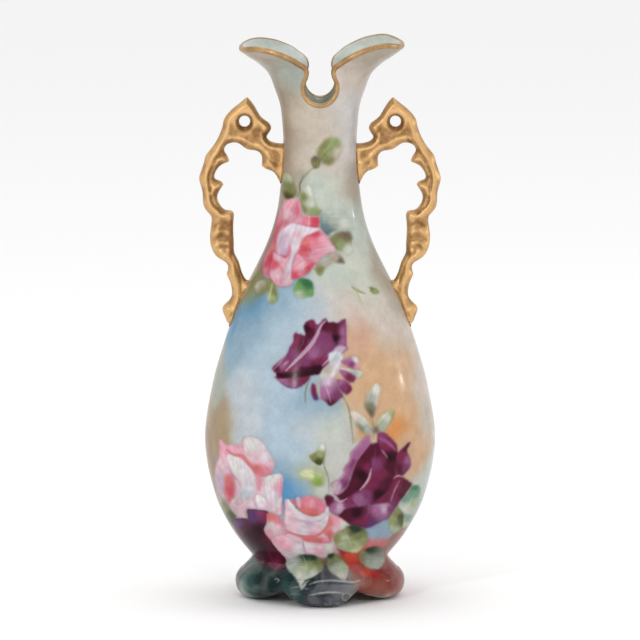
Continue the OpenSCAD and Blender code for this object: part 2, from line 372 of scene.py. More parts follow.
def shell_rings(quarter, mouth_rows, body_rows):
    """The shell's rings from the middle of the base, up outside, over the edge and down inside."""
    grid, cut_points = mouth_columns(quarter, mouth_rows, GRID_START_Z)
    centre, out, rise = rim_frame(grid, cut_points)
    turns = grid[0, :, 0]
    z = np.linspace(waist_z, GRID_START_Z, body_rows, endpoint=False)
    low = np.stack(np.broadcast_arrays(turns, z[:, None]), -1)
    grid = np.concatenate([low, grid])
    outer = wall_point(grid[..., 0], grid[..., 1])
    normal = wall_normal(grid[..., 0], grid[..., 1])
    rings = [outer[0] * [f, f, 1] for f in (0.02, 0.5, 0.97)]
    rings += list(outer - normal * SKIN)
    for angle in np.radians(np.linspace(8, 172, 9)):
        rings.append(centre + (wall / 2 - 0.05) * (math.cos(angle) * out + math.sin(angle) * rise))
    inner = (outer - normal * wall)[::-1]
    inner = [ring for ring in inner if ring[:, 2].min() > waist_z + wall + 1]
    rings += inner
    rings += [inner[-1] * [f, f, 0] + [0, 0, waist_z + wall] for f in (0.93, 0.5, 0.02)]
    return rings


def build_porcelain():
    """The closed shell, with a flat cap at each end of its rings."""
    rings = shell_rings(48, 44, 60)
    columns = len(rings[0])
    faces = loop_faces(len(rings), columns, closed=False)
    last = (len(rings) - 1) * columns
    faces.append(tuple(reversed(range(columns))))
    faces.append(tuple(last + i for i in range(columns)))
    return new_piece("porcelain_shell", np.vstack(rings), faces)


porcelain = build_porcelain()

# %% [markdown]
# ## One tree that lays a section along a path
# Much of this vase is a section carried round a path: the painted belly is its outline
# turned about the axis, the gold on the mouth is a thin band carried along the cut, and
# the slip at each joint is a bead round the end of a handle. Geometry Nodes do all of
# them with one tree. The path is a mesh whose points store which way is out and which
# way is up; the section is another mesh. A grid is made with a column for each path
# point, and each of its points looks up its own path point and section point by index.

# %% The sweep tree
def make_sweep_tree():
    """The tree: a path with ways out and up, a section, its size and a material."""
    tree = bpy.data.node_groups.new("lay section along path", "GeometryNodeTree")
    face = tree.interface
    face.new_socket("Path", in_out="INPUT", socket_type="NodeSocketGeometry")
    for name, kind in (("Section", "NodeSocketObject"), ("Material", "NodeSocketMaterial")):
        face.new_socket(name, in_out="INPUT", socket_type=kind)
    size = face.new_socket("Section size", in_out="INPUT", socket_type="NodeSocketFloat")
    size.default_value = 1.0
    face.new_socket("Geometry", in_out="OUTPUT", socket_type="NodeSocketGeometry")
    nodes, links = tree.nodes, tree.links

    def add(kind, **settings):
        node = nodes.new(kind)
        for key, value in settings.items():
            setattr(node, key, value)
        return node

    def whole(operation, a, b):
        node = add("FunctionNodeIntegerMath", operation=operation)
        for socket, value in zip(node.inputs, (a, b)):
            if isinstance(value, int):
                socket.default_value = value
            else:
                links.new(value, socket)
        return node.outputs[0]

    def look_up(geometry, field, index, data_type="FLOAT_VECTOR"):
        node = add("GeometryNodeSampleIndex", data_type=data_type, domain="POINT")
        links.new(geometry, node.inputs["Geometry"])
        links.new(field, node.inputs["Value"])
        links.new(index, node.inputs["Index"])
        return node.outputs["Value"]

    def times(vector, scalar):
        node = add("ShaderNodeVectorMath", operation="SCALE")
        links.new(vector, node.inputs[0])
        links.new(scalar, node.inputs["Scale"])
        return node.outputs[0]

    def plus(a, b):
        node = add("ShaderNodeVectorMath", operation="ADD")
        links.new(a, node.inputs[0])
        links.new(b, node.inputs[1])
        return node.outputs[0]

    given = add("NodeGroupInput")
    section = add("GeometryNodeObjectInfo")
    links.new(given.outputs["Section"], section.inputs["Object"])
    counts = []
    for source in (given.outputs["Path"], section.outputs["Geometry"]):
        domain = add("GeometryNodeAttributeDomainSize", component="MESH")
        links.new(source, domain.inputs[0])
        counts.append(domain.outputs["Point Count"])
    grid = add("GeometryNodeMeshGrid")
    links.new(whole("ADD", counts[0], 1), grid.inputs["Vertices X"])
    links.new(whole("ADD", counts[1], 1), grid.inputs["Vertices Y"])
    index = add("GeometryNodeInputIndex").outputs[0]
    tall = whole("ADD", counts[1], 1)
    column = whole("MODULO", whole("DIVIDE_FLOOR", index, tall), counts[0])
    row = whole("MODULO", whole("MODULO", index, tall), counts[1])
    place = add("GeometryNodeInputPosition").outputs[0]
    ways = []
    for name in ("out", "rise"):
        named = add("GeometryNodeInputNamedAttribute", data_type="FLOAT_VECTOR")
        named.inputs["Name"].default_value = name
        ways.append(look_up(given.outputs["Path"], named.outputs["Attribute"], column))
    start = look_up(given.outputs["Path"], place, column)
    split = add("ShaderNodeSeparateXYZ")
    sized = times(look_up(section.outputs["Geometry"], place, row), given.outputs["Section size"])
    links.new(sized, split.inputs[0])
    target = plus(start, plus(times(ways[0], split.outputs["X"]), times(ways[1], split.outputs["Z"])))
    move = add("GeometryNodeSetPosition")
    links.new(grid.outputs["Mesh"], move.inputs["Geometry"])
    links.new(target, move.inputs["Position"])
    weld = add("GeometryNodeMergeByDistance")
    weld.inputs["Distance"].default_value = 2e-6
    real = add("GeometryNodeRealizeInstances")
    paint = add("GeometryNodeSetMaterial")
    result = add("NodeGroupOutput")
    links.new(move.outputs[0], weld.inputs["Geometry"])
    links.new(weld.outputs[0], real.inputs[0])
    links.new(real.outputs[0], paint.inputs["Geometry"])
    links.new(given.outputs["Material"], paint.inputs["Material"])
    links.new(paint.outputs[0], result.inputs[0])
    return tree


def points_object(name, points, **vectors):
    """A mesh of bare points in mm, with vectors stored on them."""
    mesh = bpy.data.meshes.new(name)
    mesh.from_pydata((np.asarray(points, float) * MM).tolist(), [], [])
    for key, values in vectors.items():
        store = mesh.attributes.new(key, "FLOAT_VECTOR", "POINT")
        store.data.foreach_set("vector", np.asarray(values, np.float32).ravel())
    return put_in(name, mesh)


def sweep(name, path, out, rise, section, material=None):
    """Lays a closed section (mm, as distance out and distance up) along a closed path."""
    holder = points_object(name, path, out=out, rise=rise)
    flat = np.column_stack([section[:, 0], np.zeros(len(section)), section[:, 1]])
    profile = points_object(name + "_section", flat)
    modifier = holder.modifiers.new("sweep", "NODES")
    modifier.node_group = sweep_tree
    names = {item.name: item.identifier for item in sweep_tree.interface.items_tree
             if item.in_out == "INPUT"}
    modifier[names["Section"]] = profile
    modifier[names["Section size"]] = 1.0
    if material:
        modifier[names["Material"]] = material
    graph = bpy.context.evaluated_depsgraph_get()
    mesh = bpy.data.meshes.new_from_object(holder.evaluated_get(graph))
    holder.modifiers.clear()
    mesh.name = name
    holder.data = mesh
    bpy.data.objects.remove(profile)
    mesh.polygons.foreach_set("use_smooth", [True] * len(mesh.polygons))
    if material and not mesh.materials:
        mesh.materials.append(material)
    print(f"{name}: {len(mesh.vertices)} points, {len(mesh.polygons)} faces")
    return holder


sweep_tree = make_sweep_tree()

# %% [markdown]
# ## The painted skins of the belly
# The painting is fired into the glaze, a skin a fraction of a millimetre thick. It gets
# pieces of its own, because its colours are stored on its points and need a much finer
# grid than the shape does. The columns crowd together at the front, where the roses are,
# and spread out behind.

# %% Turn the belly's skins
NECK_SKIN_Z = 196.0
BELLY_CUTS = [waist_z, 72.0, 128.0, NECK_SKIN_Z]
CROWDING = 0.52
PAINT_COLUMNS = 480
PAINT_SPACING = 0.46


def crowded_turns(count):
    """Turns once round that lie close together at the front and wide apart behind."""
    u = np.arange(count) / count * 2 * math.pi
    return -math.pi / 2 + u - CROWDING * np.sin(u)


def skin_section(low, high, spacing):
    """A closed section of the skin between two heights: fine outside, coarse inside."""
    z = np.linspace(low, high, 400)
    r = smooth_curve(z, body_table)
    path = np.column_stack([r, z])
    fine = resample(path, int(run_along(path)[-1] / spacing))
    coarse = resample(path, 10)[::-1]
    slope = np.gradient(smooth_curve(coarse[:, 1], body_table), coarse[:, 1])
    back = np.column_stack([np.ones(10), -slope]) / np.sqrt(1 + slope ** 2)[:, None]
    return np.vstack([fine, coarse - back * [SKIN, 0]])


def lie_on_wall(piece):
    """Gives a skin the wall's own normals, so that skins meet with no visible line."""
    mm = points_mm(piece)
    turn = np.arctan2(mm[:, 1], mm[:, 0])
    normal = wall_normal(turn, mm[:, 2])
    under = ((wall_point(turn, mm[:, 2]) - mm) * normal).sum(1) > SKIN / 3
    normal[under] *= -1
    piece.data.normals_split_custom_set_from_vertices(normal.tolist())


turns = crowded_turns(PAINT_COLUMNS)
turn_out = np.column_stack([np.cos(turns), np.sin(turns), np.zeros(PAINT_COLUMNS)])
turn_up = np.tile([0.0, 0, 1], (PAINT_COLUMNS, 1))


def turned_skin(name, low, high):
    """The skin between two heights, turned about the axis."""
    axis = np.zeros((PAINT_COLUMNS, 3))
    piece = sweep(name, axis, turn_out, turn_up, skin_section(low, high, PAINT_SPACING))
    lie_on_wall(piece)
    return piece


belly_skins = [turned_skin("painted_belly_" + name, low, high)
               for name, low, high in zip(("low", "middle", "high"), BELLY_CUTS, BELLY_CUTS[1:])]

# %% [markdown]
# ## The painted skin of the neck and mouth
# The same idea with the mouth's own columns: fine outside, and a coarse back that lies on
# the porcelain. The skin stops where the edge begins to round over.

# %% Build the neck's skin
def build_neck_skin(quarter, rows):
    """The neck's skin, with the grid and the cut that the gilding follows."""
    grid, cut_points = mouth_columns(quarter, rows, NECK_SKIN_Z)
    outer = wall_point(grid[..., 0], grid[..., 1])
    normal = wall_normal(grid[..., 0], grid[..., 1])
    pick = np.linspace(rows - 1, 0, 26).astype(int)
    rings = list(outer) + list((outer - normal * SKIN)[pick])
    faces = loop_faces(len(rings), 4 * quarter)
    return new_piece("painted_neck", np.vstack(rings), faces), grid, cut_points


neck_skin, rim_grid, rim_cut = build_neck_skin(74, 200)
lie_on_wall(neck_skin)

# %% [markdown]
# ## Gold on the cut edge
# The gilder runs a brush along the edge with the pot on a wheel, so the gold wraps the
# rounded edge and comes a little way down the outside. It is a thin band with a closed
# section, carried along the cut by the sweep tree.

# %% Gild the rim
GOLD_OUT = 0.08
GOLD_IN = 0.2
GOLD_END = 160


def gilding_section():
    """A crescent that wraps the rounded edge, as distance out and up from its centre."""
    r = wall / 2 + GOLD_OUT
    outside = [(r, -0.8), (r, -0.4)]
    over = [(r * math.cos(a), r * math.sin(a)) for a in np.radians(np.linspace(0, GOLD_END, 14))]
    r = wall / 2 - GOLD_IN
    under = [(r * math.cos(a), r * math.sin(a)) for a in np.radians(np.linspace(GOLD_END, 0, 10))]
    return np.array(outside + over + under + [(r, -0.7)])


rim_gold = sweep("rim_gold_band", *rim_frame(rim_grid, rim_cut), gilding_section())

# %% [markdown]
# ## The foot
# The foot is a ring cast with four rolls, two broad ones at the sides and two narrower
# ones front and back, like the scrolls under a carved table. Between the rolls it rises
# off the ground in small arches. We draw one section through a roll and one through an
# arch, point for point, and blend them by where we are on the way round.

# %% Foot sections
FRONT_ROLL_HALF = math.radians(32)
# Both sections have their points in the same order: down outside, under, up inside and back.
ROLL_SECTION = [(38.4, 23.7), (40.6, 20.6), (43.2, 17.9), (44.4, 16.5), (46.2, 15.1), (48.1, 12), (48.5, 8),
                (47.3, 4), (44.2, 1.2), (40.2, 0), (36.4, 0.1), (33.7, 1.8), (33, 6), (33, 14), (33, 23.4),
                (36, 23.7)]
ARCH_SECTION = [(38.4, 23.7), (39.6, 21), (40.9, 18.6), (41.8, 17), (42.6, 15.4), (43.2, 13), (42.8, 10.9),
                (41.4, 9.3), (39.4, 8.4), (37.4, 8.2), (35.6, 8.4), (33.8, 9), (33, 10), (33, 16), (33, 23.4),
                (36, 23.7)]
FINE_POINTS = 600
FACE_POINTS = 329
FACE_SHARE = 0.8
ROLL_FULLNESS = 2.3
# Raised work on the front and back rolls: ridges along them as (height, half length, width,
# rise), and rings and buttons as (across, height, ring radius, width, rise).
FOOT_RIDGES = [(15.6, 21, 0.75, 1.1), (10.1, 18, 0.8, 0.9), (3.6, 15, 0.6, 0.5)]
FOOT_RINGS = [(14.9, 7, 2.0, 0.55, 0.9), (-24.6, 15, 1.5, 0.55, 0.8), (-15.5, 6.6, 1.7, 0.6, 0.5),
              (3, 2.4, 0.8, 0.6, 0.7), (6.6, 2.4, 1.0, 0.6, 0.7), (10.6, 2.6, 1.0, 0.6, 0.7),
              (14.6, 3, 0.8, 0.6, 0.6)]


def roll_share(turn):
    """1 at the middle of a roll and 0 at the middle of an arch."""
    from_front = np.abs((turn + math.pi / 2 + math.pi) % (2 * math.pi) - math.pi)
    from_front = np.minimum(from_front, math.pi - from_front)
    side_half = math.pi / 2 - FRONT_ROLL_HALF
    on_front = from_front < FRONT_ROLL_HALF
    across = np.where(on_front, from_front / FRONT_ROLL_HALF, (math.pi / 2 - from_front) / side_half)
    return 1 - np.abs(across) ** ROLL_FULLNESS


def foot_relief(turns, section):
    """How far the raised work stands out of each point of the foot."""
    x, z = section[..., 0] * np.cos(turns)[:, None], section[..., 1]
    x = x * -np.sign(np.sin(turns))[:, None]
    facing = np.clip(3 * np.abs(np.sin(turns))[:, None] - 1.6, 0, 1) * (section[..., 0] > 38)
    rise = np.zeros_like(x)
    for height, half, width, lift in FOOT_RIDGES:
        fade = np.clip((half - np.abs(x)) / 4, 0, 1)
        rise += lift * fade * np.exp(-((z - height + 0.05 * np.abs(x)) / width) ** 2)
    for across, height, ring, width, lift in FOOT_RINGS:
        away = np.hypot(x - across, z - height)
        rise += lift * np.exp(-((away - ring) / width) ** 2)
    return rise * facing


def build_foot(columns, rows):
    """The foot, with most of its rows on the face that is seen."""
    turns = np.arange(columns) * 2 * math.pi / columns
    share = roll_share(turns)[:, None, None]
    stops = [0, FACE_POINTS, FINE_POINTS - 1]
    pick = np.interp(np.linspace(0, 1, rows), [0, FACE_SHARE, 1], stops).astype(int)
    roll = resample(smooth_path(ROLL_SECTION, 8), FINE_POINTS)[pick]
    arch = resample(smooth_path(ARCH_SECTION, 8), FINE_POINTS)[pick]
    section = share * roll + (1 - share) * arch
    along = unit(np.roll(section, -1, axis=1) - np.roll(section, 1, axis=1))
    section = section + foot_relief(turns, section)[..., None] * along[..., ::-1] * [-1, 1]
    section[..., 0] = np.minimum(section[..., 0], foot_high[0] - SIDE_CLEARANCE)
    radius, z = section[..., 0], np.clip(section[..., 1], 0, foot_high[2])
    rings = np.stack([radius * np.cos(turns)[:, None], radius * np.sin(turns)[:, None], z], -1)
    rings = rings.transpose(1, 0, 2)[::-1]
    return new_piece("scroll_foot", rings.reshape(-1, 3), loop_faces(rows, columns))


foot = build_foot(480, 120)

# %% [markdown]
# ## The handles
# Each handle is cast solid in a two-part mould, so it has a flat outline with rounded
# edges and relief on both faces. The frame's handle is that outline as a plate. We take
# the outline from the plate's front face, so it fits by itself, and fill it with small
# triangles. The thickness then grows from nothing at the edge like a cushion, and ribs,
# hollows and curls are added to it, the way a modeller builds up wax.

# %% Outline of a plate
def border(triangles):
    """The edges that only one triangle has, in the order they are met."""
    edges = {}
    for a, b, c in triangles:
        for edge in ((a, b), (b, c), (c, a)):
            if edges.pop(edge[::-1], None) is None:
                edges[edge] = True
    return list(edges)


def front_loops(node):
    """The outlines of a plate's front face in mm, as loops of (across, up)."""
    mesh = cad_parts[node].data
    mesh.calc_loop_triangles()
    co = np.array([v.co for v in mesh.vertices]) / MM
    front = co[:, 1].min()
    keys = {}
    index = np.array([keys.setdefault(tuple(np.round(p, 3)), len(keys)) for p in co])
    spot = np.array(list(keys))
    corners = [list(triangle.vertices) for triangle in mesh.loop_triangles]
    following = dict(border([index[c] for c in corners if np.all(co[c, 1] < front + 0.01)]))
    loops = []
    while following:
        start = next(iter(following))
        loop, at = [], start
        while at in following:
            loop.append(spot[at][[0, 2]])
            at = following.pop(at)
        loops.append(np.array(loop))
    return sorted(loops, key=len, reverse=True)


def cut_corners(loop, times):
    """A closed outline with its corners cut, again and again, until it is round."""
    for _ in range(times):
        ahead = np.roll(loop, -1, axis=0)
        loop = np.stack([0.75 * loop + 0.25 * ahead, 0.25 * loop + 0.75 * ahead], 1).reshape(-1, 2)
    return loop


def close_and_resample(loop, spacing):
    """A closed outline with points at even distances."""
    closed = np.vstack([loop, loop[:1]])
    return resample(closed, int(run_along(closed)[-1] / spacing) + 1)[:-1]


def inside_loop(points, loop):
    """Which points lie inside a closed outline."""
    a, b = loop, np.roll(loop, -1, axis=0)
    x, y = points[:, 0, None], points[:, 1, None]
    crosses = (a[:, 1] > y) != (b[:, 1] > y)
    rise = np.where(b[:, 1] == a[:, 1], 1e-9, b[:, 1] - a[:, 1])
    at = a[:, 0] + (y - a[:, 1]) * (b[:, 0] - a[:, 0]) / rise
    return (crosses & (x < at)).sum(1) % 2 == 1


def distance_to(points, line):
    """Distance of each point to the nearest of a line's points."""
    parts = [np.sqrt(((chunk[:, None] - line) ** 2).sum(2).min(1)) for chunk in np.array_split(points, 40)]
    return np.concatenate(parts)


# %% [markdown]
# The relief is a list of modeller's strokes. A rib or a groove follows a smooth line with
# a width and a height; a boss or a dish is round. Distances are from the vase's axis
# outwards and from the ground up, so both handles share one list.

# %% The modeller's strokes
RIBS = [
    # (points, half width, height)
    ([(42, 284), (47.6, 280.4), (51.6, 275.6), (52.8, 270), (55, 264.4), (58.6, 258), (63, 251), (65.4, 243),
      (64.6, 234), (62.8, 226), (58.6, 222.4)], 1.1, 0.9),
    ([(42, 284), (38.4, 280), (35, 275), (31, 271.2)], 1.0, 0.8),
    ([(50, 264.2), (55, 258), (60, 250.8), (63, 243), (62.6, 234), (60.8, 226.8), (55.6, 221.6)], 0.7, -0.9),
    ([(53.4, 252.6), (57.4, 252.4), (60.2, 249.4)], 0.9, 0.8),
    ([(56.6, 236.6), (60, 236.2), (62, 232.6)], 0.9, 0.8),
    ([(50.6, 221.4), (55, 220), (59, 221.6)], 0.9, 0.7),
    ([(23, 250), (28, 253), (32, 257.6), (38, 261), (45, 264.4), (51, 264.4)], 1.0, 0.8),
    ([(22, 258.6), (28, 259.4), (32, 262.4), (33.6, 267)], 0.9, 0.8),
    ([(23, 243.4), (27.6, 248.2), (30, 251.8)], 0.9, 0.6),
    ([(51.6, 210.4), (56, 211.4), (60.4, 210)], 1.1, 0.7),
    ([(51.6, 203.4), (56, 204.4), (60.4, 203)], 1.1, 0.7),
    ([(51.4, 206.8), (56, 207.8), (60.8, 206.4)], 0.7, -0.7),
    ([(51.2, 214.6), (56, 215.6), (60.4, 214.2)], 0.8, -0.6),
    ([(55.6, 197.6), (50.6, 192.4), (49.6, 186), (47.6, 179), (47.4, 172), (49.6, 165)], 1.0, 0.8),
    ([(50.8, 197), (47.4, 189), (45, 182), (44.2, 175)], 0.7, -0.7),
    ([(53.4, 168.6), (51.2, 165.6), (52.4, 162.4)], 0.8, 0.8),
]
ROUNDS = [
    # (centre, radius, height)
    ((52.2, 200.2), 1.5, 0.9), ((56.6, 199.4), 1.2, 0.8), ((59.6, 202.2), 1.1, 0.7),
    ((54.6, 196.4), 1.0, 0.7), ((31, 270.4), 1.6, 0.7), ((52.6, 204.8), 0.9, 0.5),
    ((56.4, 238.2), 1.3, 0.7), ((53.4, 251.4), 1.2, 0.7), ((53.4, 166), 1.5, 0.9),
    ((49.6, 257.8), 1.0, 0.5), ((50.4, 218.8), 1.3, 0.7),
]
EYE_RING = (5.2, 1.3, 0.9)
EYE_DISH = ((43, 271.2), 3.6, -2.4)


def relief(points, eye):
    """How far the modeller's work stands out at each point."""
    total = np.zeros(len(points))
    for line, half, rise in RIBS:
        away = distance_to(points, smooth_path(line, 10))
        total += rise * np.exp(-(away / half) ** 2)
    for centre, radius, rise in ROUNDS:
        away = np.linalg.norm(points - centre, axis=1)
        total += rise * np.exp(-(away / radius) ** 3)
    radius, half, rise = EYE_RING
    total += rise * np.exp(-((np.linalg.norm(points - eye, axis=1) - radius) / half) ** 2)
    return total


# %% [markdown]
# An outline is filled with triangles. Near a free edge they follow it in rows, because the
# cushion curves most there, and further in they sit on an even lattice. The ends that are
# buried in the wall need no rows.

# %% Fill the outline
HALF_FACE = 5.5
BURIED = 2.0
AT_WALL = 0.4
ROW_INSETS = (0.14, 0.4, 0.8, 1.3, 1.9)
LATTICE = 0.85
LATTICE_SHIFT = 0.42


def off_wall(outline):
    """How far each point of an outline stands off the body's wall."""
    wall_at = smooth_curve(np.clip(outline[:, 1], waist_z, neck_z), body_table)
    return np.hypot(outline[:, 0], HALF_FACE) - wall_at


def handle_outlines(node, side):
    """The plate's outline, the eye's hole and centre, and the free edges as close points."""
    plate, eye_loop = [loop * [side, 1] for loop in front_loops(node)][:2]
    eye = eye_loop.mean(0)
    eye_r = np.linalg.norm(eye_loop - eye, axis=1).mean()
    plate[off_wall(plate) < 0.75, 0] -= BURIED
    circle = np.radians(np.arange(0, 360, 10))
    hole = eye + eye_r * np.stack([np.cos(circle), np.sin(circle)], -1)
    rounded = cut_corners(plate, 2)
    edge = np.vstack([close_and_resample(rounded, 0.2), close_and_resample(hole, 0.2)])
    return close_and_resample(rounded, 0.6), hole, eye, edge[off_wall(edge) > -AT_WALL]


def rows_and_lattice(outline, hole, edge):
    """The outline's own points, the rows along its free edges and the lattice inside."""
    free = off_wall(outline) > -AT_WALL
    around = np.vstack([outline[free], hole])
    ahead = np.vstack([np.roll(outline, -1, axis=0)[free], np.roll(hole, -1, axis=0)])
    normal = unit((ahead - around)[:, ::-1] * [1, -1])
    found = [outline, hole]
    for inset in ROW_INSETS:
        for sign in (1, -1):
            moved = around + sign * inset * normal
            keep = (distance_to(moved, edge) > 0.93 * inset) & inside_loop(moved, outline)
            keep &= ~inside_loop(moved, hole)
            found.append(moved[keep][::1 if inset < 1 else 2])
    low, high = outline.min(0), outline.max(0)
    across, up = np.meshgrid(np.arange(low[0], high[0], LATTICE), np.arange(low[1], high[1], LATTICE))
    across[::2] += LATTICE_SHIFT
    lattice = np.stack([across.ravel(), up.ravel()], -1)
    lattice = lattice[inside_loop(lattice, outline) & ~inside_loop(lattice, hole)]
    keep = (distance_to(lattice, edge) > 2.3) & (distance_to(lattice, outline) > 0.5)
    return np.vstack([*found, lattice[keep]])


def filled(outline, hole, points):
    """Points and triangles that cover the outline and leave the hole open."""
    n = len(outline)
    edges = [(i, (i + 1) % n) for i in range(n)]
    edges += [(n + i, n + (i + 1) % len(hole)) for i in range(len(hole))]
    flat, _, triangles, *_ = delaunay_2d_cdt([Vector(p) for p in points], edges, [], 0, 1e-4, False)
    flat, triangles = np.array([tuple(v) for v in flat]), np.array(triangles)
    middle = flat[triangles].mean(1)
    triangles = triangles[inside_loop(middle, outline) & ~inside_loop(middle, hole)]
    used, triangles = np.unique(triangles, return_inverse=True)
    return flat[used], triangles.reshape(-1, 3)


# %% [markdown]
# The flat sheet of triangles is then laid twice, once as the front and once as the back,
# and both swell away from the middle plane by half the thickness. The round dish in the
# head is on the front only. Along the edge the two sheets share their points.

# %% Build a handle
HALF_THICK = 4.9
ROUNDING = 4.6
ON_EDGE = 0.12
RELIEF_START = 1.6
THINNEST = 0.2


def half_thickness(flat, eye, edge):
    """Half the thickness in front and behind, and which points are on the edge."""
    deep = distance_to(flat, edge)
    on_edge = deep < ON_EDGE
    rounded = np.sqrt(np.clip(1 - (1 - np.clip(deep / ROUNDING, 0, 1)) ** 2, 0, 1))
    fade = np.clip(deep / RELIEF_START, 0, 1)
    behind = HALF_THICK * rounded + fade * relief(flat, eye)
    centre, radius, rise = EYE_DISH
    front = behind + fade * rise * np.exp(-(np.linalg.norm(flat - centre, axis=1) / radius) ** 2)
    front, behind = (np.where(on_edge, 0, np.clip(half, THINNEST, HALF_FACE)) for half in (front, behind))
    return front, behind, on_edge


def build_handle(node, side):
    """A handle on the side given by 1 or -1, as two sheets joined round their edges."""
    outline, hole, eye, edge = handle_outlines(node, side)
    flat, triangles = filled(outline, hole, rows_and_lattice(outline, hole, edge))
    front_half, back_half, on_edge = half_thickness(flat, eye, edge)
    count = len(flat)
    front = np.column_stack([side * flat[:, 0], -front_half, flat[:, 1]])
    back = np.column_stack([side * flat[:, 0], back_half, flat[:, 1]])
    behind = np.where(on_edge, np.arange(count), np.arange(count) + count)
    corner = flat[triangles]
    area = np.cross(corner[:, 1] - corner[:, 0], corner[:, 2] - corner[:, 0])
    turn_over = (area < 0) != (side < 0)
    triangles[turn_over] = triangles[turn_over][:, ::-1]
    faces = [tuple(t) for t in triangles] + [tuple(behind[t][::-1]) for t in triangles]
    for a, b in border(triangles):
        side_face = list(dict.fromkeys((b, a, behind[a], behind[b])))
        if len(side_face) > 2:
            faces.append(tuple(side_face))
    faces = [tuple(int(i) for i in face) for face in faces]
    piece = new_piece("gilt_" + node, np.vstack([front, back]), faces)
    tidy_mesh(piece)
    return piece


def tidy_mesh(piece):
    """Drops unused points and turns all faces outwards."""
    work = bmesh.new()
    work.from_mesh(piece.data)
    bmesh.ops.delete(work, geom=[v for v in work.verts if not v.link_faces], context="VERTS")
    bmesh.ops.recalc_face_normals(work, faces=work.faces)
    open_edges = sum(1 for edge in work.edges if len(edge.link_faces) != 2)
    work.to_mesh(piece.data)
    work.free()
    print(f"{piece.name}: {open_edges} open edges")


handles = [build_handle("handle_left", -1), build_handle("handle_right", 1)]

# %% [markdown]
# ## The waist bead and the slip at the joints
# Foot and body are fired apart and joined with glaze, which leaves a soft bead in the
# corner. Each handle is stuck to the wall with slip, and the finger that wipes it leaves a
# bead there too. All of them are closed sections carried round a closed path.

# %% Lay the beads
def round_section(radius, flat, count):
    """A round section, narrower outwards by the given share."""
    angle = np.arange(count) * 2 * math.pi / count
    return np.stack([radius * flat * np.cos(angle), radius * np.sin(angle)], -1)


def joint_bead(node, side):
    """A bead round the end of a handle, on the wall."""
    low, high = (np.array(corner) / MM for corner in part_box(node))
    angle = np.radians(np.arange(0, 360, 5))
    c, s = np.cos(angle), np.sin(angle)
    y = 4.7 * np.sign(c) * np.abs(c) ** 0.6
    z = (low[2] + high[2]) / 2 + ((high[2] - low[2]) / 2 - 0.9) * np.sign(s) * np.abs(s) ** 0.7
    reach = wall_point(0 if side > 0 else math.pi, z)[:, 0]
    x = side * np.sqrt(reach ** 2 - y ** 2)
    path = np.column_stack([x, y, z])
    out = wall_normal(np.arctan2(y, x), z)
    ahead = unit(np.roll(path, -1, axis=0) - np.roll(path, 1, axis=0))
    rise = np.cross(ahead, out)
    return sweep(node + "_bead", path, out, rise, round_section(0.95, 0.7, 12))


LUTES = ("lute_left_upper", "lute_left_lower", "lute_right_upper", "lute_right_lower")
lutes = [joint_bead(node, -1 if "left" in node else 1) for node in LUTES]
waist_path = turn_out * (waist_r - 0.25) + [0, 0, waist_z - 0.33]
waist_bead = sweep("waist_bead", waist_path, turn_out, turn_up, round_section(0.55, 1.0, 10))

# %% [markdown]
# ## The palette
# China paints are fluxed metal oxides: gold gives the pinks and purples, iron the reds and
# browns, cobalt the blues, chrome the greens. We name the pots once and call for them by
# name, as red, green and blue out of 255.

# %% Pots of colour
POTS = {
    "maroon": (46, 12, 26), "wine": (82, 24, 44), "crimson": (124, 40, 74), "plum": (128, 62, 104),
    "mauve": (160, 100, 142), "lilac": (198, 172, 192), "purple": (92, 58, 108), "red": (168, 46, 44),
    "rust": (204, 82, 62), "coral": (212, 114, 114), "carmine": (204, 78, 96), "rose": (222, 134, 152),
    "pink": (226, 162, 178), "blush": (226, 190, 200), "petal": (224, 214, 222), "pearl": (214, 210, 208),
    "pine": (38, 56, 44), "moss": (76, 80, 38), "olive": (134, 134, 88), "leaf": (152, 164, 112),
    "pale_leaf": (178, 188, 154), "mist": (208, 212, 198), "emerald": (60, 112, 72), "green": (112, 160, 96),
    "teal": (116, 158, 138), "slate": (100, 120, 124), "dove": (174, 180, 170), "stem": (134, 136, 108),
    "lime": (140, 168, 70), "white": (238, 238, 236), "bark": (116, 104, 84), "lemon": (204, 208, 160),
    "ivory": (204, 192, 176), "sand": (182, 170, 154), "tan": (168, 150, 130), "brown": (166, 134, 108),
    "ochre": (174, 153, 122), "cream": (214, 200, 188), "celadon": (196, 204, 194), "sky": (148, 176, 194),
    "blue": (92, 148, 194), "deep_sky": (100, 148, 180), "ice": (178, 198, 212), "haze": (196, 204, 210),
    "peach": (216, 176, 138), "orange": (226, 146, 74), "apricot": (212, 166, 140),
    "spruce": (20, 38, 38), "verdigris": (52, 84, 78), "smoke": (70, 70, 78), "ash": (142, 140, 142),
    "brick": (140, 60, 50), "clay": (158, 112, 102), "bone": (206, 204, 198),
}


def pot(name):
    return np.array(POTS[name]) / 255


# %% [markdown]
# ## Ground colours
# Before any flower is drawn, the wall is dusted with soft clouds of colour. Each cloud has
# a place on the front, as distance across and height seen from the painter's stool, a pot
# and a reach, and every point of the wall mixes the clouds near it. The back mirrors the
# front, so the sides have no seam.

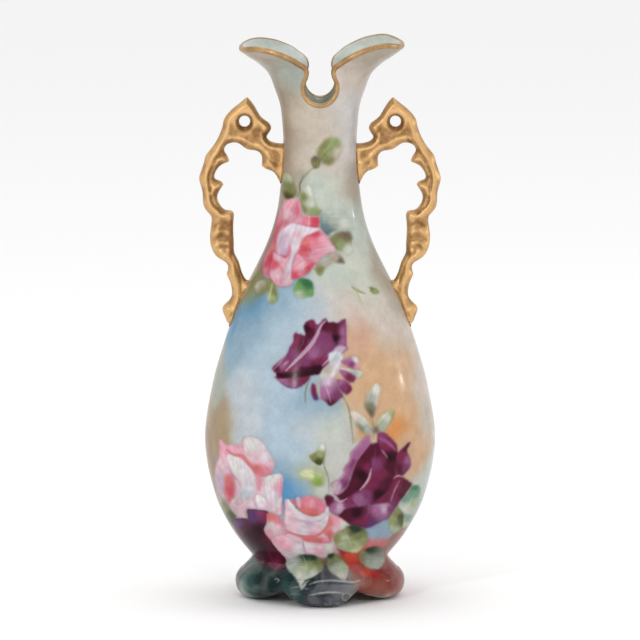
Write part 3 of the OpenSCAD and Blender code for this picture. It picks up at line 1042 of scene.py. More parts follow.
# %% Dust the ground
STOOL_TILT = math.radians(8)
# The three tan clouds down the left of the neck are partly the ground's own tan and partly painted shade on
# that side.
GROUND = [
    (-36, 306, "sand", 12), (-16, 300, "dove", 10), (36, 306, "sand", 12), (16, 298, "cream", 10),
    (-20, 282, "tan", 9), (-9, 276, "ivory", 9), (4, 268, "ivory", 9), (16, 276, "pearl", 10),
    (-19, 258, "tan", 9), (-8, 252, "ivory", 9), (8, 248, "cream", 9), (18, 256, "pearl", 9),
    (-18, 238, "tan", 8), (-4, 232, "celadon", 9), (8, 230, "mist", 9), (19, 236, "sand", 8),
    (12, 214, "celadon", 9), (20, 206, "celadon", 9), (-28, 200, "clay", 8), (20, 190, "mist", 10),
    (34, 186, "sand", 9), (10, 182, "celadon", 9), (-44, 180, "ochre", 7), (-38, 174, "olive", 6),
    (-20, 174, "sky", 8), (-37, 166, "deep_sky", 8), (-26, 164, "sky", 9), (-12, 164, "ice", 9),
    (0, 166, "haze", 9), (14, 168, "cream", 11), (30, 170, "mist", 8), (42, 172, "sand", 9),
    (34, 160, "cream", 11), (-50, 156, "deep_sky", 8), (-38, 152, "sky", 10), (-22, 152, "ice", 9),
    (-48, 140, "sky", 10), (-34, 134, "ice", 10), (-22, 140, "ice", 9), (22, 146, "apricot", 9),
    (44, 148, "cream", 11), (30, 132, "peach", 11), (46, 134, "peach", 10), (-58, 138, "sand", 8),
    (-58, 122, "dove", 8), (-44, 120, "haze", 10), (-26, 118, "ice", 10), (-9, 112, "sky", 8),
    (3, 108, "sky", 8), (24, 118, "peach", 10), (40, 114, "peach", 11), (56, 120, "cream", 9),
    (-64, 110, "ochre", 9), (-55, 102, "ochre", 8), (-42, 104, "haze", 9), (-24, 100, "ice", 9),
    (-8, 98, "haze", 8), (4, 98, "mist", 8), (14, 98, "celadon", 8), (23, 97, "orange", 4),
    (45, 96, "orange", 6), (50, 106, "peach", 9), (60, 100, "ivory", 9), (-66, 86, "brown", 9),
    (-66, 70, "brown", 9), (-24, 88, "ice", 8), (-12, 84, "ice", 8), (4, 84, "celadon", 8),
    (12, 78, "mist", 8), (58, 84, "peach", 9), (49, 88, "peach", 6), (-20, 74, "sky", 6),
    (-17, 63, "blue", 5.5), (-10, 64, "sky", 5), (-4, 70, "pale_leaf", 7), (8, 66, "celadon", 7),
    (60, 68, "celadon", 9), (-64, 56, "brown", 8), (-58, 46, "olive", 7), (56, 50, "dove", 8),
    (37, 39, "sky", 6), (52, 38, "clay", 7), (42, 30, "clay", 7), (30, 27, "coral", 6), (22, 20, "rust", 6),
    (36, 20, "rust", 6), (-50, 32, "clay", 8), (-42, 22, "bark", 8), (-6, 28, "blush", 8),
    (2, 14, "bark", 8),
]
FOOT_GROUND = [
    (-46, 8, "clay", 6), (-42, 4, "bone", 4), (-40, 10, "verdigris", 8), (-30, 4, "spruce", 7),
    (-30, 12, "spruce", 8), (-18, 6, "verdigris", 6), (-14, 12, "spruce", 6), (-4, 2, "smoke", 6),
    (-6, 10, "spruce", 5), (4, 8, "smoke", 7), (14, 8, "ash", 7), (12, 0, "smoke", 7), (24, 6, "clay", 6),
    (30, 10, "brick", 8), (40, 12, "brick", 8), (34, 2, "clay", 6), (44, 4, "clay", 5), (40, -3, "bone", 5),
    (-50, 16, "spruce", 6), (50, 16, "brick", 6),
]


def noise(points, grain, seed):
    """Soft noise from -1 to 1, with grains of the given size in mm."""
    table = np.random.default_rng(seed).uniform(-1, 1, 4096)
    cell = points / grain
    base = np.floor(cell).astype(np.int64)
    t = cell - base
    t = t * t * (3 - 2 * t)
    total = np.zeros(len(points))
    for corner in np.ndindex(*[2] * points.shape[1]):
        key, share = np.zeros(len(points), np.int64), np.ones(len(points))
        for k, step in enumerate(corner):
            key ^= (base[:, k] + step) * (73856093, 19349663, 83492791)[k]
            share *= t[:, k] if step else 1 - t[:, k]
        total += share * table[key & 4095]
    return total


BELLY_HALF = 66
NECK_HALF = 22


def seat(across, up, on_foot=False):
    """The place on the front of the wall that a painter on the stool sees there."""
    z = float(up)
    for _ in range(8):
        if on_foot:
            r = foot_high[0] - 4
        elif z > neck_z:
            r = float(smooth_curve(z, side_table if abs(across) > NECK_HALF else front_table))
        else:
            r = math.hypot(*wall_point(-math.pi / 2 + 0.3 * across / BELLY_HALF, z)[:2])
        toward = math.sqrt(max(r * r - across * across, 0))
        z = (up + toward * math.sin(STOOL_TILT)) / math.cos(STOOL_TILT)
    return across, -toward, z


def dusted(mm, clouds, on_foot=False):
    """The ground's colour at each point, with the clouds' edges drifting a little."""
    folded = mm * [1, 1, 1]
    folded[:, 1] = -np.abs(folded[:, 1])
    drift = np.stack([noise(mm, 9, 11 + k) for k in range(3)], -1) * 2.6
    drift += np.stack([noise(mm, 3.2, 21 + k) for k in range(3)], -1) * 0.8
    folded += drift
    total, colour = np.full(len(mm), 1e-9), np.zeros((len(mm), 3))
    for across, up, name, reach in clouds:
        away = ((folded - seat(across, up, on_foot)) ** 2).sum(1)
        share = np.exp(-away / (reach * 1.05) ** 2) + 1e-3 / (1 + away / 40)
        total += share
        colour += share[:, None] * pot(name)
    colour /= total[:, None]
    return colour * (1 + 0.035 * noise(mm, 5, 31) + 0.02 * noise(mm, 1.6, 32))[:, None]


# %% [markdown]
# ## The painter's hand
# A canvas holds every point that takes paint. It can be faced from any side, and then each
# point has a place on the easel. Three strokes do all the work. A petal is a closed smooth
# outline filled with a few tones that melt into each other, with fine hair marks of the
# brush along it, a rim turned to the light and a breath of shadow around it. A line is a
# stroke that thins at both ends, and a cloud is a dab wiped with a dry cloth.
#
# The strokes are kept as notes, each ended by a semicolon. A petal's note gives its outline
# as pairs of millimetres across and up, then a bar and its tones, each with its place and
# pot, then perhaps a bar and how soft its border is. A line's note gives its points, then
# its width, its pot and how well it covers. A cloud's gives its middle, reach and pot.

# %% Petal, line and cloud
SHADOW = 0.055
SHADOW_REACH = 1.1
EDGE_SHARE = 0.55


class Canvas:
    """All points that take paint, their colours and the side that is being painted."""

    def __init__(self, pieces):
        self.pieces = pieces
        self.mm = np.vstack([points_mm(piece) for piece in pieces])
        turn = np.arctan2(self.mm[:, 1], self.mm[:, 0])
        self.normal = wall_normal(turn, np.maximum(self.mm[:, 2], waist_z + 0.3))
        on_foot = self.mm[:, 2] < waist_z - 0.2
        self.colour = dusted(self.mm, GROUND)
        self.colour[on_foot] = dusted(self.mm[on_foot], FOOT_GROUND, True)
        self.body = np.zeros(len(self.mm))
        self.grain = noise(self.mm, 1.5, 41)
        self.stand(0)

    def stand(self, azimuth, shift=(0, 0), size=1, mirror=False):
        """Faces a side of the vase. Strokes are then moved, sized or mirrored by the rest."""
        a = math.radians(azimuth)
        across = self.mm[:, 0] * math.cos(a) + self.mm[:, 1] * math.sin(a)
        toward = self.mm[:, 0] * math.sin(a) - self.mm[:, 1] * math.cos(a)
        up = self.mm[:, 2] * math.cos(STOOL_TILT) - toward * math.sin(STOOL_TILT)
        facing = self.normal[:, 0] * math.sin(a) - self.normal[:, 1] * math.cos(a)
        self.seen = facing * math.cos(STOOL_TILT) + self.normal[:, 2] * math.sin(STOOL_TILT) > 0.05
        self.seen &= toward > 0
        self.at = (np.stack([across, up], -1) - shift) / size
        if mirror:
            self.at[:, 0] *= -1

    def near(self, line, margin):
        """The seen points in a box round a line."""
        box = np.all((self.at > line.min(0) - margin) & (self.at < line.max(0) + margin), 1)
        return np.flatnonzero(self.seen & box)

    def lay(self, near, cover, colour, body):
        """Lays paint over what is there, as far as it covers."""
        self.colour[near] += cover[:, None] * (colour - self.colour[near])
        self.body[near] = np.maximum(self.body[near], cover * body)

    def petal(self, outline, tones, edge=None, width=0.7, soft=0.7, cover=1.0):
        """A closed outline, filled with tones given as (across, up, pot)."""
        loop = smooth_path(outline, 6, closed=True)
        near = self.near(loop, 2)
        if not len(near):
            return
        at = self.at[near]
        fine = close_and_resample(loop, 0.35)
        deep = distance_to(at, fine) * np.where(inside_loop(at, loop), 1, -1) + 0.22 * self.grain[near]
        place = np.array([tone[:2] for tone in tones], float)
        away = ((at[:, None] - place) ** 2).sum(2)
        share = 1 / (away + 1.5) ** 1.6
        colour = share @ np.array([pot(tone[2]) for tone in tones]) / share.sum(1, keepdims=True)
        middle, reach = fine.mean(0), fine.std(0).mean() * 2
        shadow = np.exp(-(np.clip(-deep, 0, None) / SHADOW_REACH) ** 2)
        self.colour[near] *= 1 - SHADOW * cover * (shadow * (deep < soft))[:, None]
        turned = (at - middle) @ [-0.4, 0.9] / reach * np.exp(-(deep / (0.4 * reach)) ** 2)
        along = np.linalg.eigh(np.cov((fine - middle).T))[1][:, 1]
        brush = np.stack([at @ along / 6, at @ [-along[1], along[0]] / 0.9], -1)
        hair = 0.05 * noise(brush, 1, 51)
        colour = colour * (1 + hair + 0.05 * noise(at, 2.4, 52) + 0.07 * turned)[:, None]
        if edge:
            rim = np.exp(-(np.clip(deep, 0, None) / width) ** 2)[:, None]
            colour += rim * EDGE_SHARE * (pot(edge) - colour)
        rise = np.clip((deep + 1.4 * soft) / (2.8 * soft), 0, 1)
        self.lay(near, cover * rise * rise * (3 - 2 * rise), colour, 0.8)

    def line(self, points, width, name, cover=0.9):
        """A stroke of the given width, thinner at its ends."""
        path = smooth_path(points, 10)
        path = resample(path, max(8, int(run_along(path)[-1] / 0.3)))
        near = self.near(path, width + 0.6)
        if not len(near):
            return
        away = np.sqrt(((self.at[near][:, None] - path) ** 2).sum(2))
        share = np.linspace(0, 1, len(path))[away.argmin(1)]
        half = width / 2 * (0.35 + 0.65 * np.sin(math.pi * np.clip(share, 0.02, 0.98)))
        rise = np.clip((half + 0.45 - away.min(1) + 0.15 * self.grain[near]) / 0.9, 0, 1)
        self.lay(near, cover * rise, pot(name), 1.0)

    def cloud(self, centre, radii, name, cover=0.7):
        """A wiped dab."""
        spread = (self.at - centre) / radii
        share = cover * np.exp(-(spread ** 2).sum(1) * 1.4)
        near = np.flatnonzero(self.seen & (share > 0.01))
        self.lay(near, share[near] * (1 + 0.15 * self.grain[near]), pot(name), 0.0)

    def store(self):
        """Puts the colours on the points, as light values, with the paint's body as alpha."""
        bright = ((self.colour + 0.055) / 1.055) ** 2.4
        linear = np.where(self.colour <= 0.04045, self.colour / 12.92, bright)
        start = 0
        for piece in self.pieces:
            count = len(piece.data.vertices)
            rgba = np.column_stack([np.clip(linear, 0, 1), self.body])[start:start + count]
            layer = piece.data.color_attributes.new("painting", "FLOAT_COLOR", "POINT")
            layer.data.foreach_set("color", rgba.astype(np.float32).ravel())
            start += count


def pairs(text):
    """Pairs of numbers, from a text such as 3,4 5.5,6."""
    return [tuple(float(part) for part in pair.split(",")) for pair in text.split()]


def tones_in(text):
    """Tones as (across, up, pot), from a text such as 3,4,rose 5,6,pink."""
    cut_up = [tone.split(",") for tone in text.split()]
    return [(float(across), float(up), name) for across, up, name in cut_up]


def paint(canvas, notes):
    """Lays the strokes of a painter's notes, in their order."""
    for note in notes.split(";")[:-1]:
        head, manner, *more = note.split("/")
        kind, places = head.split(None, 1)
        if kind == "petal":
            choices = dict(choice.split("=") for choice in " ".join(more).split())
            choices = {key: value if key == "edge" else float(value) for key, value in choices.items()}
            canvas.petal(pairs(places), tones_in(manner), **choices)
            continue
        size, name, *cover = manner.split()
        if kind == "line":
            canvas.line(pairs(places), float(size), name, *map(float, cover))
        else:
            canvas.cloud(pairs(places)[0], pairs(size)[0], name, *map(float, cover))


canvas = Canvas([*belly_skins, neck_skin, waist_bead, foot])
print("points that take paint:", len(canvas.mm))

# %% [markdown]
# ## The upper rose
# It sits where the neck spreads into the shoulder. The shadowed left side goes in first,
# then the outer petals, the white petal that turns over like a scarf, and the warm heart.

# %% Paint the upper rose and its leaves
# In these notes, the wide mist line from 18.5,203 to 27,177.5 down the right of the shoulder is a painted
# highlight of the glaze.
# The mist tones in the middle of the second leaf, on the neck above the rose, are partly the leaf's pale
# colour and partly a painted highlight of the glaze.
UPPER_LEAVES = """
petal -21,241 -17.5,241 -14.5,235 -13,230.5 -16,227 -19,227 -21,230 -21.5,235 / -18,239,pale_leaf
   -19,228,moss -15,233,olive -20,234,olive / soft=0.9;
petal -11.5,229.5 -9,233 -6,234 -4,229 -2,222.5 1,219.5 -2,217 -7,217.5 -9.5,219.5 -11,224.5 / -6,231,mist
   -10,228,olive -10,221,olive -3,219,leaf -6,224,mist / soft=0.9;
petal 0,216.5 1.5,219.5 6.5,220.5 12,220 17,214.5 19,210 13,209.5 7,208 3.5,205.5 0.5,210 / 1,210,slate
   5,207,slate 8,214,dove 14,213,mist 10,219,celadon / soft=0.9;
petal 5,203 7,206 11.5,208 17,208 18.5,203.5 19,198 16,195 12,197 9,198 / 12,207,bark 15,206,bark
   8,202,olive 11,201,leaf 16,198,mist / soft=0.9;
petal -3,187 -1,191 0.5,193 5,195.5 10,196 14,191 12,190 7.5,190.5 3.5,187.5 0,183 / 2,192,dove 9,194,sand
   12,191.5,bark 1,186,olive 5,189,sand / soft=0.9;
cloud 10,183 / 7,6 celadon 0.8;
petal -13.5,179 -11.5,181.5 -8.5,181.5 -5,180 -3.5,176 -4,172 -7,171 -10.5,170.5 -14.5,172.5 -15,176.5 /
   -8,180,emerald -6,178,emerald -5,173,green -12,173,pale_leaf -12,177,green;
petal -28.5,181.5 -26,180 -24.5,175 -24,169.5 -27.5,167 -30,170 -30.5,175 -31,179.5 / -29,178,olive
   -25.5,174,olive -29,170,pale_leaf -27,169,leaf / soft=0.5;
line -27,180 -28,174 -29.5,169 / 1.0 lemon 0.6;
petal -37,177.5 -34,180.5 -31,180 -30.5,175 -35,172 / -35,178,sand -32,175,olive / soft=0.8;
line 18.5,203 20.5,196.5 24,187 27,177.5 / 2.6 mist 0.8;
line 18,177 21.5,174.5 25.5,173 / 1.6 leaf;
line 20,176 22,171 24,167 / 1.2 pale_leaf 0.7;
petal 28,176.5 32,176 33.5,173.5 30,173 / 29,176,olive 32.5,174,leaf / soft=0.4;
line -9.5,240 -11.5,235 -11.5,231 -13,228 / 0.9 bark;
line -3.5,244.5 -8,240.5 -12,234 / 0.8 stem;
petal -2,252 0,257 5,261.5 10,261 12.5,256 10,250 6,246 1,247.5 / 2,257,olive 8,259,leaf 4,249,olive
   9,253,ivory 5,254,leaf / soft=0.9;
petal -5,249.5 -2,251 0.5,248 -1,244.5 -4,244.5 / -3,250,bark -2,246,olive / soft=0.5;
line -2,246 2,251 7,257 / 0.6 bark 0.5;
"""

UPPER_ROSE = """
petal -20,226 -15.5,227 -12,226 -11,220.5 -10.5,217.5 -5,216.5 -0.5,216.5 -1,211 1.5,208 5.5,203.5 9,197.5
   5,195.5 0.5,193 -3,188 -8.5,183 -14.5,181.5 -16.5,178 -19.5,177 -24,177.5 -27.5,181 -32,183.5 -32,191
   -30.5,195.5 -27.5,201 -25.5,208 -23,219.5 -21,224 / -16,215,pink -22,190,rose 0,198,pink;
petal -22.5,218.5 -21,221 -21,213.5 -23.5,209 -25,203 -26.5,196.5 -27,191.5 -28.5,186 -31,182.5 -32,188
   -30.5,192.5 -28,199 -26,206 -24.5,213.5 / -21.5,219,rose -25,206,carmine -29,192,carmine -30.5,184,rose
   -26.5,199,coral / soft=0.9;
petal -20,224 -15.5,226.5 -12,225.5 -11,220.5 -10.5,217 -14.5,214.5 -18.5,212.5 -21,211.5 -21,218.5 /
   -17,225,pink -19,218,blush -13,220.5,rose -16,215,pink -20,213,rose;
line -13,224 -12.6,220 -13.2,217 / 1.4 carmine 0.45;
petal -14.5,214.5 -9.5,216.5 -5,216.5 -0.5,216 -1,210.5 -4,210.5 -8.5,211.5 -12,213 / -12,214.5,pink
   -8,213.5,rose -3,214,carmine -5,216,carmine;
petal -26.5,196.5 -23.5,194.5 -19.5,193 -18,194 -19,188.5 -20,183.5 -21,181.5 -19.5,177.5 -24,177.5
   -27.5,181.5 -28.5,185 -27,191 / -26,190,carmine -24,184,blush -21,188,pink -24,179,pink -23,193,blush /
   soft=0.5;
line -23.5,189.5 -21,186 -20.3,183 / 0.8 carmine 0.55;
petal -12,195.5 -9.5,193 -6,191 -2,191 -5,187 -8.5,183.5 -13.5,181.5 -16,182 -16,188 -14,193 / -13,190,pink
   -10,188,blush -14,183,carmine -7,187,carmine -11,184,rose;
petal -10.5,202.5 -8,205.5 -2.5,208 0.5,207.5 3.5,204 9,197.5 4,196 0.5,193.5 -2,191 -7,191 -9.5,193.5
   -12,195.5 -11.5,199 / -8.5,202,coral -9,197,carmine -3,202,rose 1,204,pink 6,198.5,blush 0,196,pink
   -4,194,pink -2.5,206.5,carmine -8,192.5,rose;
petal -19,211 -15.5,213 -10.5,211.5 -5,210.5 -0.5,210 -3,208 -8,206 -10.5,203 -12,199 -14.5,194 -16,188.5
   -16.5,182 -15.5,179.5 -19.5,177 -21,181.5 -19.5,188 -17.5,193 -16.5,197.5 -17.5,200.5 -19,195.5 -22.5,194
   -24.5,198 -24.5,205 -22,209 / -16,210,petal -13,206,blush -8,208.5,petal -22,203,lilac -20,197,lilac
   -14,199,petal -17,189,petal -18,181,blush;
line -17.6,202 -17.2,198 -18.4,195 / 1.2 rose 0.6;
line -22.5,195.2 -19.4,193.2 / 1.0 carmine 0.8;
line -9.4,200.5 -8,198.4 -6.2,198.6 -5.2,196.6 / 0.9 carmine 0.8;
line -10.6,196.6 -8.4,196 -6.6,197 / 1.3 coral;
line -9.2,192.8 -6,191.4 -3.4,191.6 / 0.9 coral 0.7;
line -14.6,184.5 -13.4,182.6 -11.4,182.4 / 0.7 carmine 0.7;
line -8.6,187.6 -7.2,185.6 -7.6,184.2 / 0.9 coral 0.6;
line -0.6,210.2 2,207.6 5.2,204 / 0.7 pink 0.7;
"""


# %% [markdown]
# ## The two crimson roses
# They are nearly black in their hollows, and the light comes only from thin turned edges,
# laid last with a fine brush. The one on the belly hangs from its stem and shows its pale
# calyx and a fan of small petals. The lower one is open.

# %% Paint the crimson roses
CRIMSON_BUD = """
cloud -8,138 / 26,24 haze 0.35;
line 12,116 14.5,112 16.5,107 17.7,98.5 18.8,88 / 1.1 stem 0.75;
petal -27,131 -19,138 -17,142.5 -15,145.5 -14.5,149.5 -13.4,151 -12.4,150 -8.5,149.5 -9,154.5 -7,157
   -4.5,158 -1.5,155.5 1,157.5 3,158.5 4.7,156.5 9,156 14.3,158 14.7,149 14.5,144 15.5,141.5 12,139 9,137
   5,133 1,129.5 0,127.5 -5.5,126.5 -7.5,123 -10.5,121 -14.5,119.5 -18.5,120.5 -22.5,123 -25.5,125.5
   -24.6,127.2 / -12,140,crimson 0,140,plum 10,150,plum -20,132,crimson / edge=mauve width=0.5;
petal -26.5,130.5 -19,138 -17,142.5 -15,145.5 -14.5,150 -9,149 -7,146 -12,138 -18,132 -22,128 /
   -14,146,crimson -16,139,plum -22,131.5,mauve -10,144,wine -24,130.5,wine;
petal -9,154.5 -7,157 -3.5,157.5 -2.7,151.5 -5,147.5 -7.5,147.5 -8.2,151 / -7,153,maroon -4.5,155,crimson
   -5.5,149,wine;
line -9.3,147.4 -9.8,144.6 -11.6,142 / 0.7 mauve 0.5;
petal 3,158.5 4.7,156.5 9,156 10,150 8,142 4,136 0,131.5 -6,129 -12,129.5 -14,132 -8,138 -3.5,144 -1,149
   0.5,154 / 3,154,wine 2,149,plum -3,139,mauve 0,134,crimson -8,133,plum -3,131,wine 5,141,plum;
petal 5.5,156 9,156 12,156.5 14.3,158 14.7,149 14.5,144 11,143 8,146 6.5,151 / 8,152,wine 9,148,maroon
   13,151,mauve 13,145.5,mauve 7,155,wine;
petal 9,142.5 12,143.5 15,142 12,139 9,137 6,138 / 11,141.5,lilac 8,139,haze / soft=0.9;
petal -24.6,127.4 -19,128 -12.5,129 -10.5,131.5 -5,131.5 1,132.5 1,129.5 -0.5,127.5 -6,126.5 -9,125.5
   -17,125 -21.5,124.5 / -20,126.5,maroon -8,128,maroon -2,130,maroon -9,131,wine;
petal -23.5,124.5 -17,125 -9,125.5 -6,126 -7.5,123 -10.5,121 -14.5,119.7 -18.5,120.5 -22,122.8 /
   -10,124.5,crimson -15,124,crimson -15,121,plum -20,122.5,mauve;
line -22.4,122.6 -18.4,120.2 -14.2,119.4 -10.4,120.6 / 0.6 purple 0.7;
line 3,157.4 0.5,154.5 -2,149 -5,144 -9,139.5 -14,134.5 -19.2,129.4 / 2.4 lilac 0.85;
line -20.5,132.5 -18,134.6 / 0.8 blush 0.7;
line -26.6,129.4 -23,133.6 -19.6,137.4 / 0.7 blush 0.6;
petal 5,139 10,140 13,137.5 12,133 11,129 7,125 3,123 0,125.5 1,129 5,133 / 9,137,haze 9,132,petal
   5,129,sand 2,125,mist 8,127,petal / soft=0.9;
petal 12,134.5 15,136 18.5,137.5 21.3,136 22.3,132 21.7,129.3 17.7,130.5 14,132.5 / 15,134,mauve 18,133,plum
   20.6,135.6,white 21.3,131,pink;
petal 12,131 17.7,130 23.5,129 23.3,126 20.5,125.5 17,127.5 13,129.5 / 14,130,pearl 20,128,dove
   22.5,127,mist / soft=0.5;
petal 11,129 13.7,129.6 17.3,127.6 20,126 19.3,123.2 17,122.8 14,124.8 / 13,128,mauve 17,125.5,crimson
   18.5,124.5,plum;
petal 9,124 13.7,124 17.3,121 18,118.5 15,115.8 11.3,118.5 / 11,122.5,mauve 14,120,plum 17.2,118.8,crimson;
petal 1.7,124.5 5.3,125.5 9,123.5 11.3,118.5 13,115 11,113 6,109.5 3,112 0.5,114 0,119 / 4,123,lilac
   5,118,mauve 8,115,plum 6,110.5,wine 2,116,mauve;
line 2,123 4.5,117 6,111.5 / 1.0 lilac 0.6;
petal -4.7,121.6 -2.7,121.2 -1.9,117 -1,113 -3.5,113.2 -5,117 / -3.5,120,crimson -3,117,crimson
   -2.4,113.5,purple;
line -5,125.6 -7,121.6 -8.2,117 -8.3,111.4 / 1.1 stem;
line -2,125.6 -1.2,121 -0.3,115 / 1.8 sand 0.85;
line 1.2,132 4.8,135.4 8.4,138.8 / 0.9 white 0.6;
"""

OPEN_CRIMSON_ROSE = """
cloud 25,68 / 30,28 lilac 0.35;
petal 33,93 36,94 39.5,91.5 43.5,87 44,83 47.3,85.5 51,88.3 49.3,83.7 51.2,78.4 51.2,75 48.6,71.2 46.6,69.2
   50.6,66 52,64 49.3,60 46,55 42,50 39.4,45.6 35.5,44 28.3,40.3 24.3,40 18.4,41.3 13,45 6.6,49 4,53 3,58
   6,58.7 9.2,56 12.5,56 8.5,58.7 8,62 6.6,65.3 11.2,68 13.8,71.2 13.5,74 17,78.4 17.7,83 21.7,87 24.3,90.2
   27.6,92.2 29,88.3 32,88 / 26,80,wine 40,76,crimson 24,50,crimson 12,64,plum / edge=mauve width=0.5;
petal 28.3,91.6 25,91 21.7,87 17.7,83 17,78.4 13.8,74 13.5,70.5 11.2,68 7,65.3 7.2,62 9.2,59 13,60.7
   16.4,64.6 19,72.5 21.7,78.4 25,83 28.3,87 / 26,88,mauve 20,81,mauve 19,77,plum 15,71,mauve 10,64,lilac
   14,65,plum / edge=blush width=0.8;
petal 28.3,87 25,83 21.7,78.4 19,72.5 16.4,64.6 13,60 10,58 12.5,56 18.4,59.4 22.3,62 26.3,66 28.3,71 29,78
   29.6,84.3 / 26,80,wine 24,70,maroon 20,66,wine 14,58.5,wine 27.5,74,crimson;
petal 29.6,87 33,88 34.2,83 36.8,74 42,69 40,64.6 36.8,59.4 28.3,53 21.7,52 18.4,57.4 23,61.3 27,66 29,72.5
   29,80.4 / 31.5,84,wine 32,76,plum 35,70,crimson 30,64,crimson 33,59,maroon 23,56,mauve 27,59,plum
   38,66,wine;
petal 33,93 36,94 39.5,91.5 43,87 44,83 43.4,78 42,70 36.8,74 34.8,81.7 34.2,85.6 / 35,91,plum 39,87,crimson
   39,80,maroon 41,74,wine 36,79,crimson;
line 33.3,91 37,89.4 40.7,86.6 43,84 / 2.0 mauve 0.75;
line 35,84.4 37.3,81.2 38.3,79.6 / 0.8 lilac 0.7;
petal 44,81.7 47.3,85 51,88.3 49.3,83.7 51.2,78.4 51,74.5 48,70.5 45.3,70 43.4,74 43.4,78 / 46,80,crimson
   45,74,wine 49,86,wine 50.2,78,mauve 48.4,74,plum;
petal 43.4,68 46,68.6 50.6,66 52,64 49.3,60 46,55 42,51 39.4,54 40,60.7 42,65.3 / 44,64,crimson 49,63,wine
   43,57,crimson 46,58,wine 41,54,plum;
line 45.3,66.8 42.2,60.7 40.3,55 / 0.8 lilac 0.7;
line 41.8,68 44,69.4 46.4,69 / 0.9 blush 0.75;
petal 29,53 36.8,54 39.4,54 42,50 39.4,45.6 35.5,44 28.3,40.3 24.3,40 18.4,41.3 13,45 10.8,47.5 14.5,50.8
   21.7,51.8 / 15,48,wine 21,48.5,maroon 26,45,crimson 36.5,50.5,lilac 33,49,mauve 29,42,purple
   22,42.5,crimson 40,50,plum;
petal 3,58 6.6,58 9.2,55.4 18.4,54 20.4,52.5 14.5,50.8 10.5,47.5 6.6,49 4,53 / 5,55.5,wine 8,52,mauve
   11,51.5,lilac 16,53,plum;
line 29,73.8 28,69.2 26,65.4 22.8,61.8 / 1.4 blush 0.8;
line 8.4,56.3 11.8,55 15.2,56.8 / 1.0 blush 0.8;
line 27.6,53.6 27.6,48.6 25.4,44.6 / 0.6 mauve 0.5;
line 31.4,86 31,80 29.8,75 / 0.6 mauve 0.35;
"""

SPRIG_ABOVE = """
petal 31.5,122 34.2,120 33.5,114.5 32.2,108.5 29.6,102.7 26.3,106.7 25.3,110 26.3,114.6 29,118.5 /
   32,119,mist 30,113,dove 28,106.5,bark 29,109,stem 33,111,cream / soft=0.9;
petal 17.4,106 21.7,105.4 26.3,102 29,97.5 30,93 24.3,94.2 21,98 19,102 / 20,104,cream 25,100,mist
   27,96,dove 23,96.5,stem / soft=0.9;
petal 30.2,94.2 31,98 34.8,103.4 39.4,106.7 42,106 40.7,102 38,96.8 34.2,94.2 / 31.5,95.5,bark
   34,99,pale_leaf 38,103,mist 41,105,leaf 36,96.5,dove / soft=0.9;
line 29.6,103 30.2,97 30.4,90.5 / 0.8 stem;
line 41.5,105.5 40.8,101.5 39,98.5 / 0.6 stem 0.6;
"""


# %% [markdown]
# ## The pink roses and the base
# The pale roses are almost all bare ground: a coral cup, a coral shadow under it and the
# faintest pink elsewhere, with a dark petal behind them to make them glow. Round the foot
# the leaves hang down over the waist and hide the joint.

# %% Paint the pink roses, the dark petal and the lower leaves
PINK_ROSE_LEFT = """
petal -58.5,60 -54.5,54.5 -50.5,49 -48,46 -51,41.5 -53,42 -56.5,49 / -55,51,olive -50,46,moss -52,43,moss
   -57,57,sand / soft=0.9;
petal -57,89.5 -53,87 -45,87.5 -42.5,91 -35,90.5 -29,83 -26,76 -30.5,69 -22,70.5 -22,61 -22,48 -30.5,49.5
   -41.5,50.5 -42.5,45 -47.5,46.5 -52,52.5 -59,61 -60,71.5 -57.5,80 / -54,85,pink -56,74,blush -57,66,lilac
   -46,50,blush -30,56,petal -38,62,blush / soft=0.9;
petal -42.5,91 -35,90.5 -29,83 -26,76 -28,70.5 -33.5,69 -37,71.5 -41.5,78 -43,83 / -38,87,pearl -31,80,petal
   -37,79,blush -36,73.5,coral -30,72.5,rose -28,76,blush / soft=0.5;
petal -53.5,70 -49.5,68.5 -48.5,62.5 -49.5,57 -52,54 -53.8,58 -54.5,64 / -51.5,66,coral -51,60,carmine
   -52.5,56,coral / soft=1.2;
petal -53,81 -48,81 -43,77 -38.5,72 -37,65.5 -37,59.5 -41.5,54.5 -46.5,51.5 -50.5,54 -47.5,57 -45,61
   -44.5,65.5 -47.5,69 -51,74.5 / -49,78,pearl -42,73,petal -39,63,petal -43,60,haze -46,53.5,blush
   -46,72,pearl / edge=white width=0.5;
line -53,84 -49,81.5 -44,80.5 -40,76 -37,72 -35.6,68.5 / 2.2 coral 0.75;
line -35,70.5 -34.2,66 -34.4,61.5 / 3.0 rose 0.7;
line -52.5,74.5 -49.5,69.3 -47,67 / 0.7 mauve 0.5;
petal -30.5,69 -22,70.5 -21.2,65.5 -21.8,61 -22.2,48 -27,49.5 -30.5,58.5 -31.3,64 / -27,68,pearl
   -28,60,petal -23,63,pink -24,54,petal -27.5,51,blush;
line -22.4,68 -22,62.5 -23,57 / 1.4 rose 0.6;
petal -36.4,58.6 -33.5,58.3 -30.6,55.4 -30,50.3 -35,51 -36.4,54 / -34,57,white -33,53,petal -31,51.5,blush /
   edge=pink width=0.4;
"""

DARK_PETAL = """
petal -41.5,49.5 -39.5,50.3 -30.5,49.5 -29.5,47.3 -30.5,43 -31.7,38 -27.7,32 -23.3,26 -19.7,21.8 -19.3,17.4
   -23.3,14.8 -27.7,16 -33.5,18 -38,22.5 -43,29.8 -47.4,36.4 -50,42 -49.2,44.4 -42.3,45 -40.8,44.6 /
   -38,46.6,purple -34,48,plum -31,47,crimson -47,42,purple -41.6,35.7,maroon -35,38,maroon -30,31,wine
   -33,28,maroon -24,19.6,crimson -37,22.5,wine -21,21,wine -44,38,wine -39,28,maroon -28,24,wine /
   edge=maroon width=0.5 soft=0.4;
line -31.5,26 -30.4,21 -28.6,17.4 / 0.9 maroon 0.7;
line -29.6,26 -27.4,21 -25.4,17 / 0.7 plum 0.5;
line -33,40 -29.6,34 -25,28.4 / 1.0 carmine 0.35;
line -48.6,42.6 -45.6,37.4 -41.4,31 / 0.7 mauve 0.45;
"""

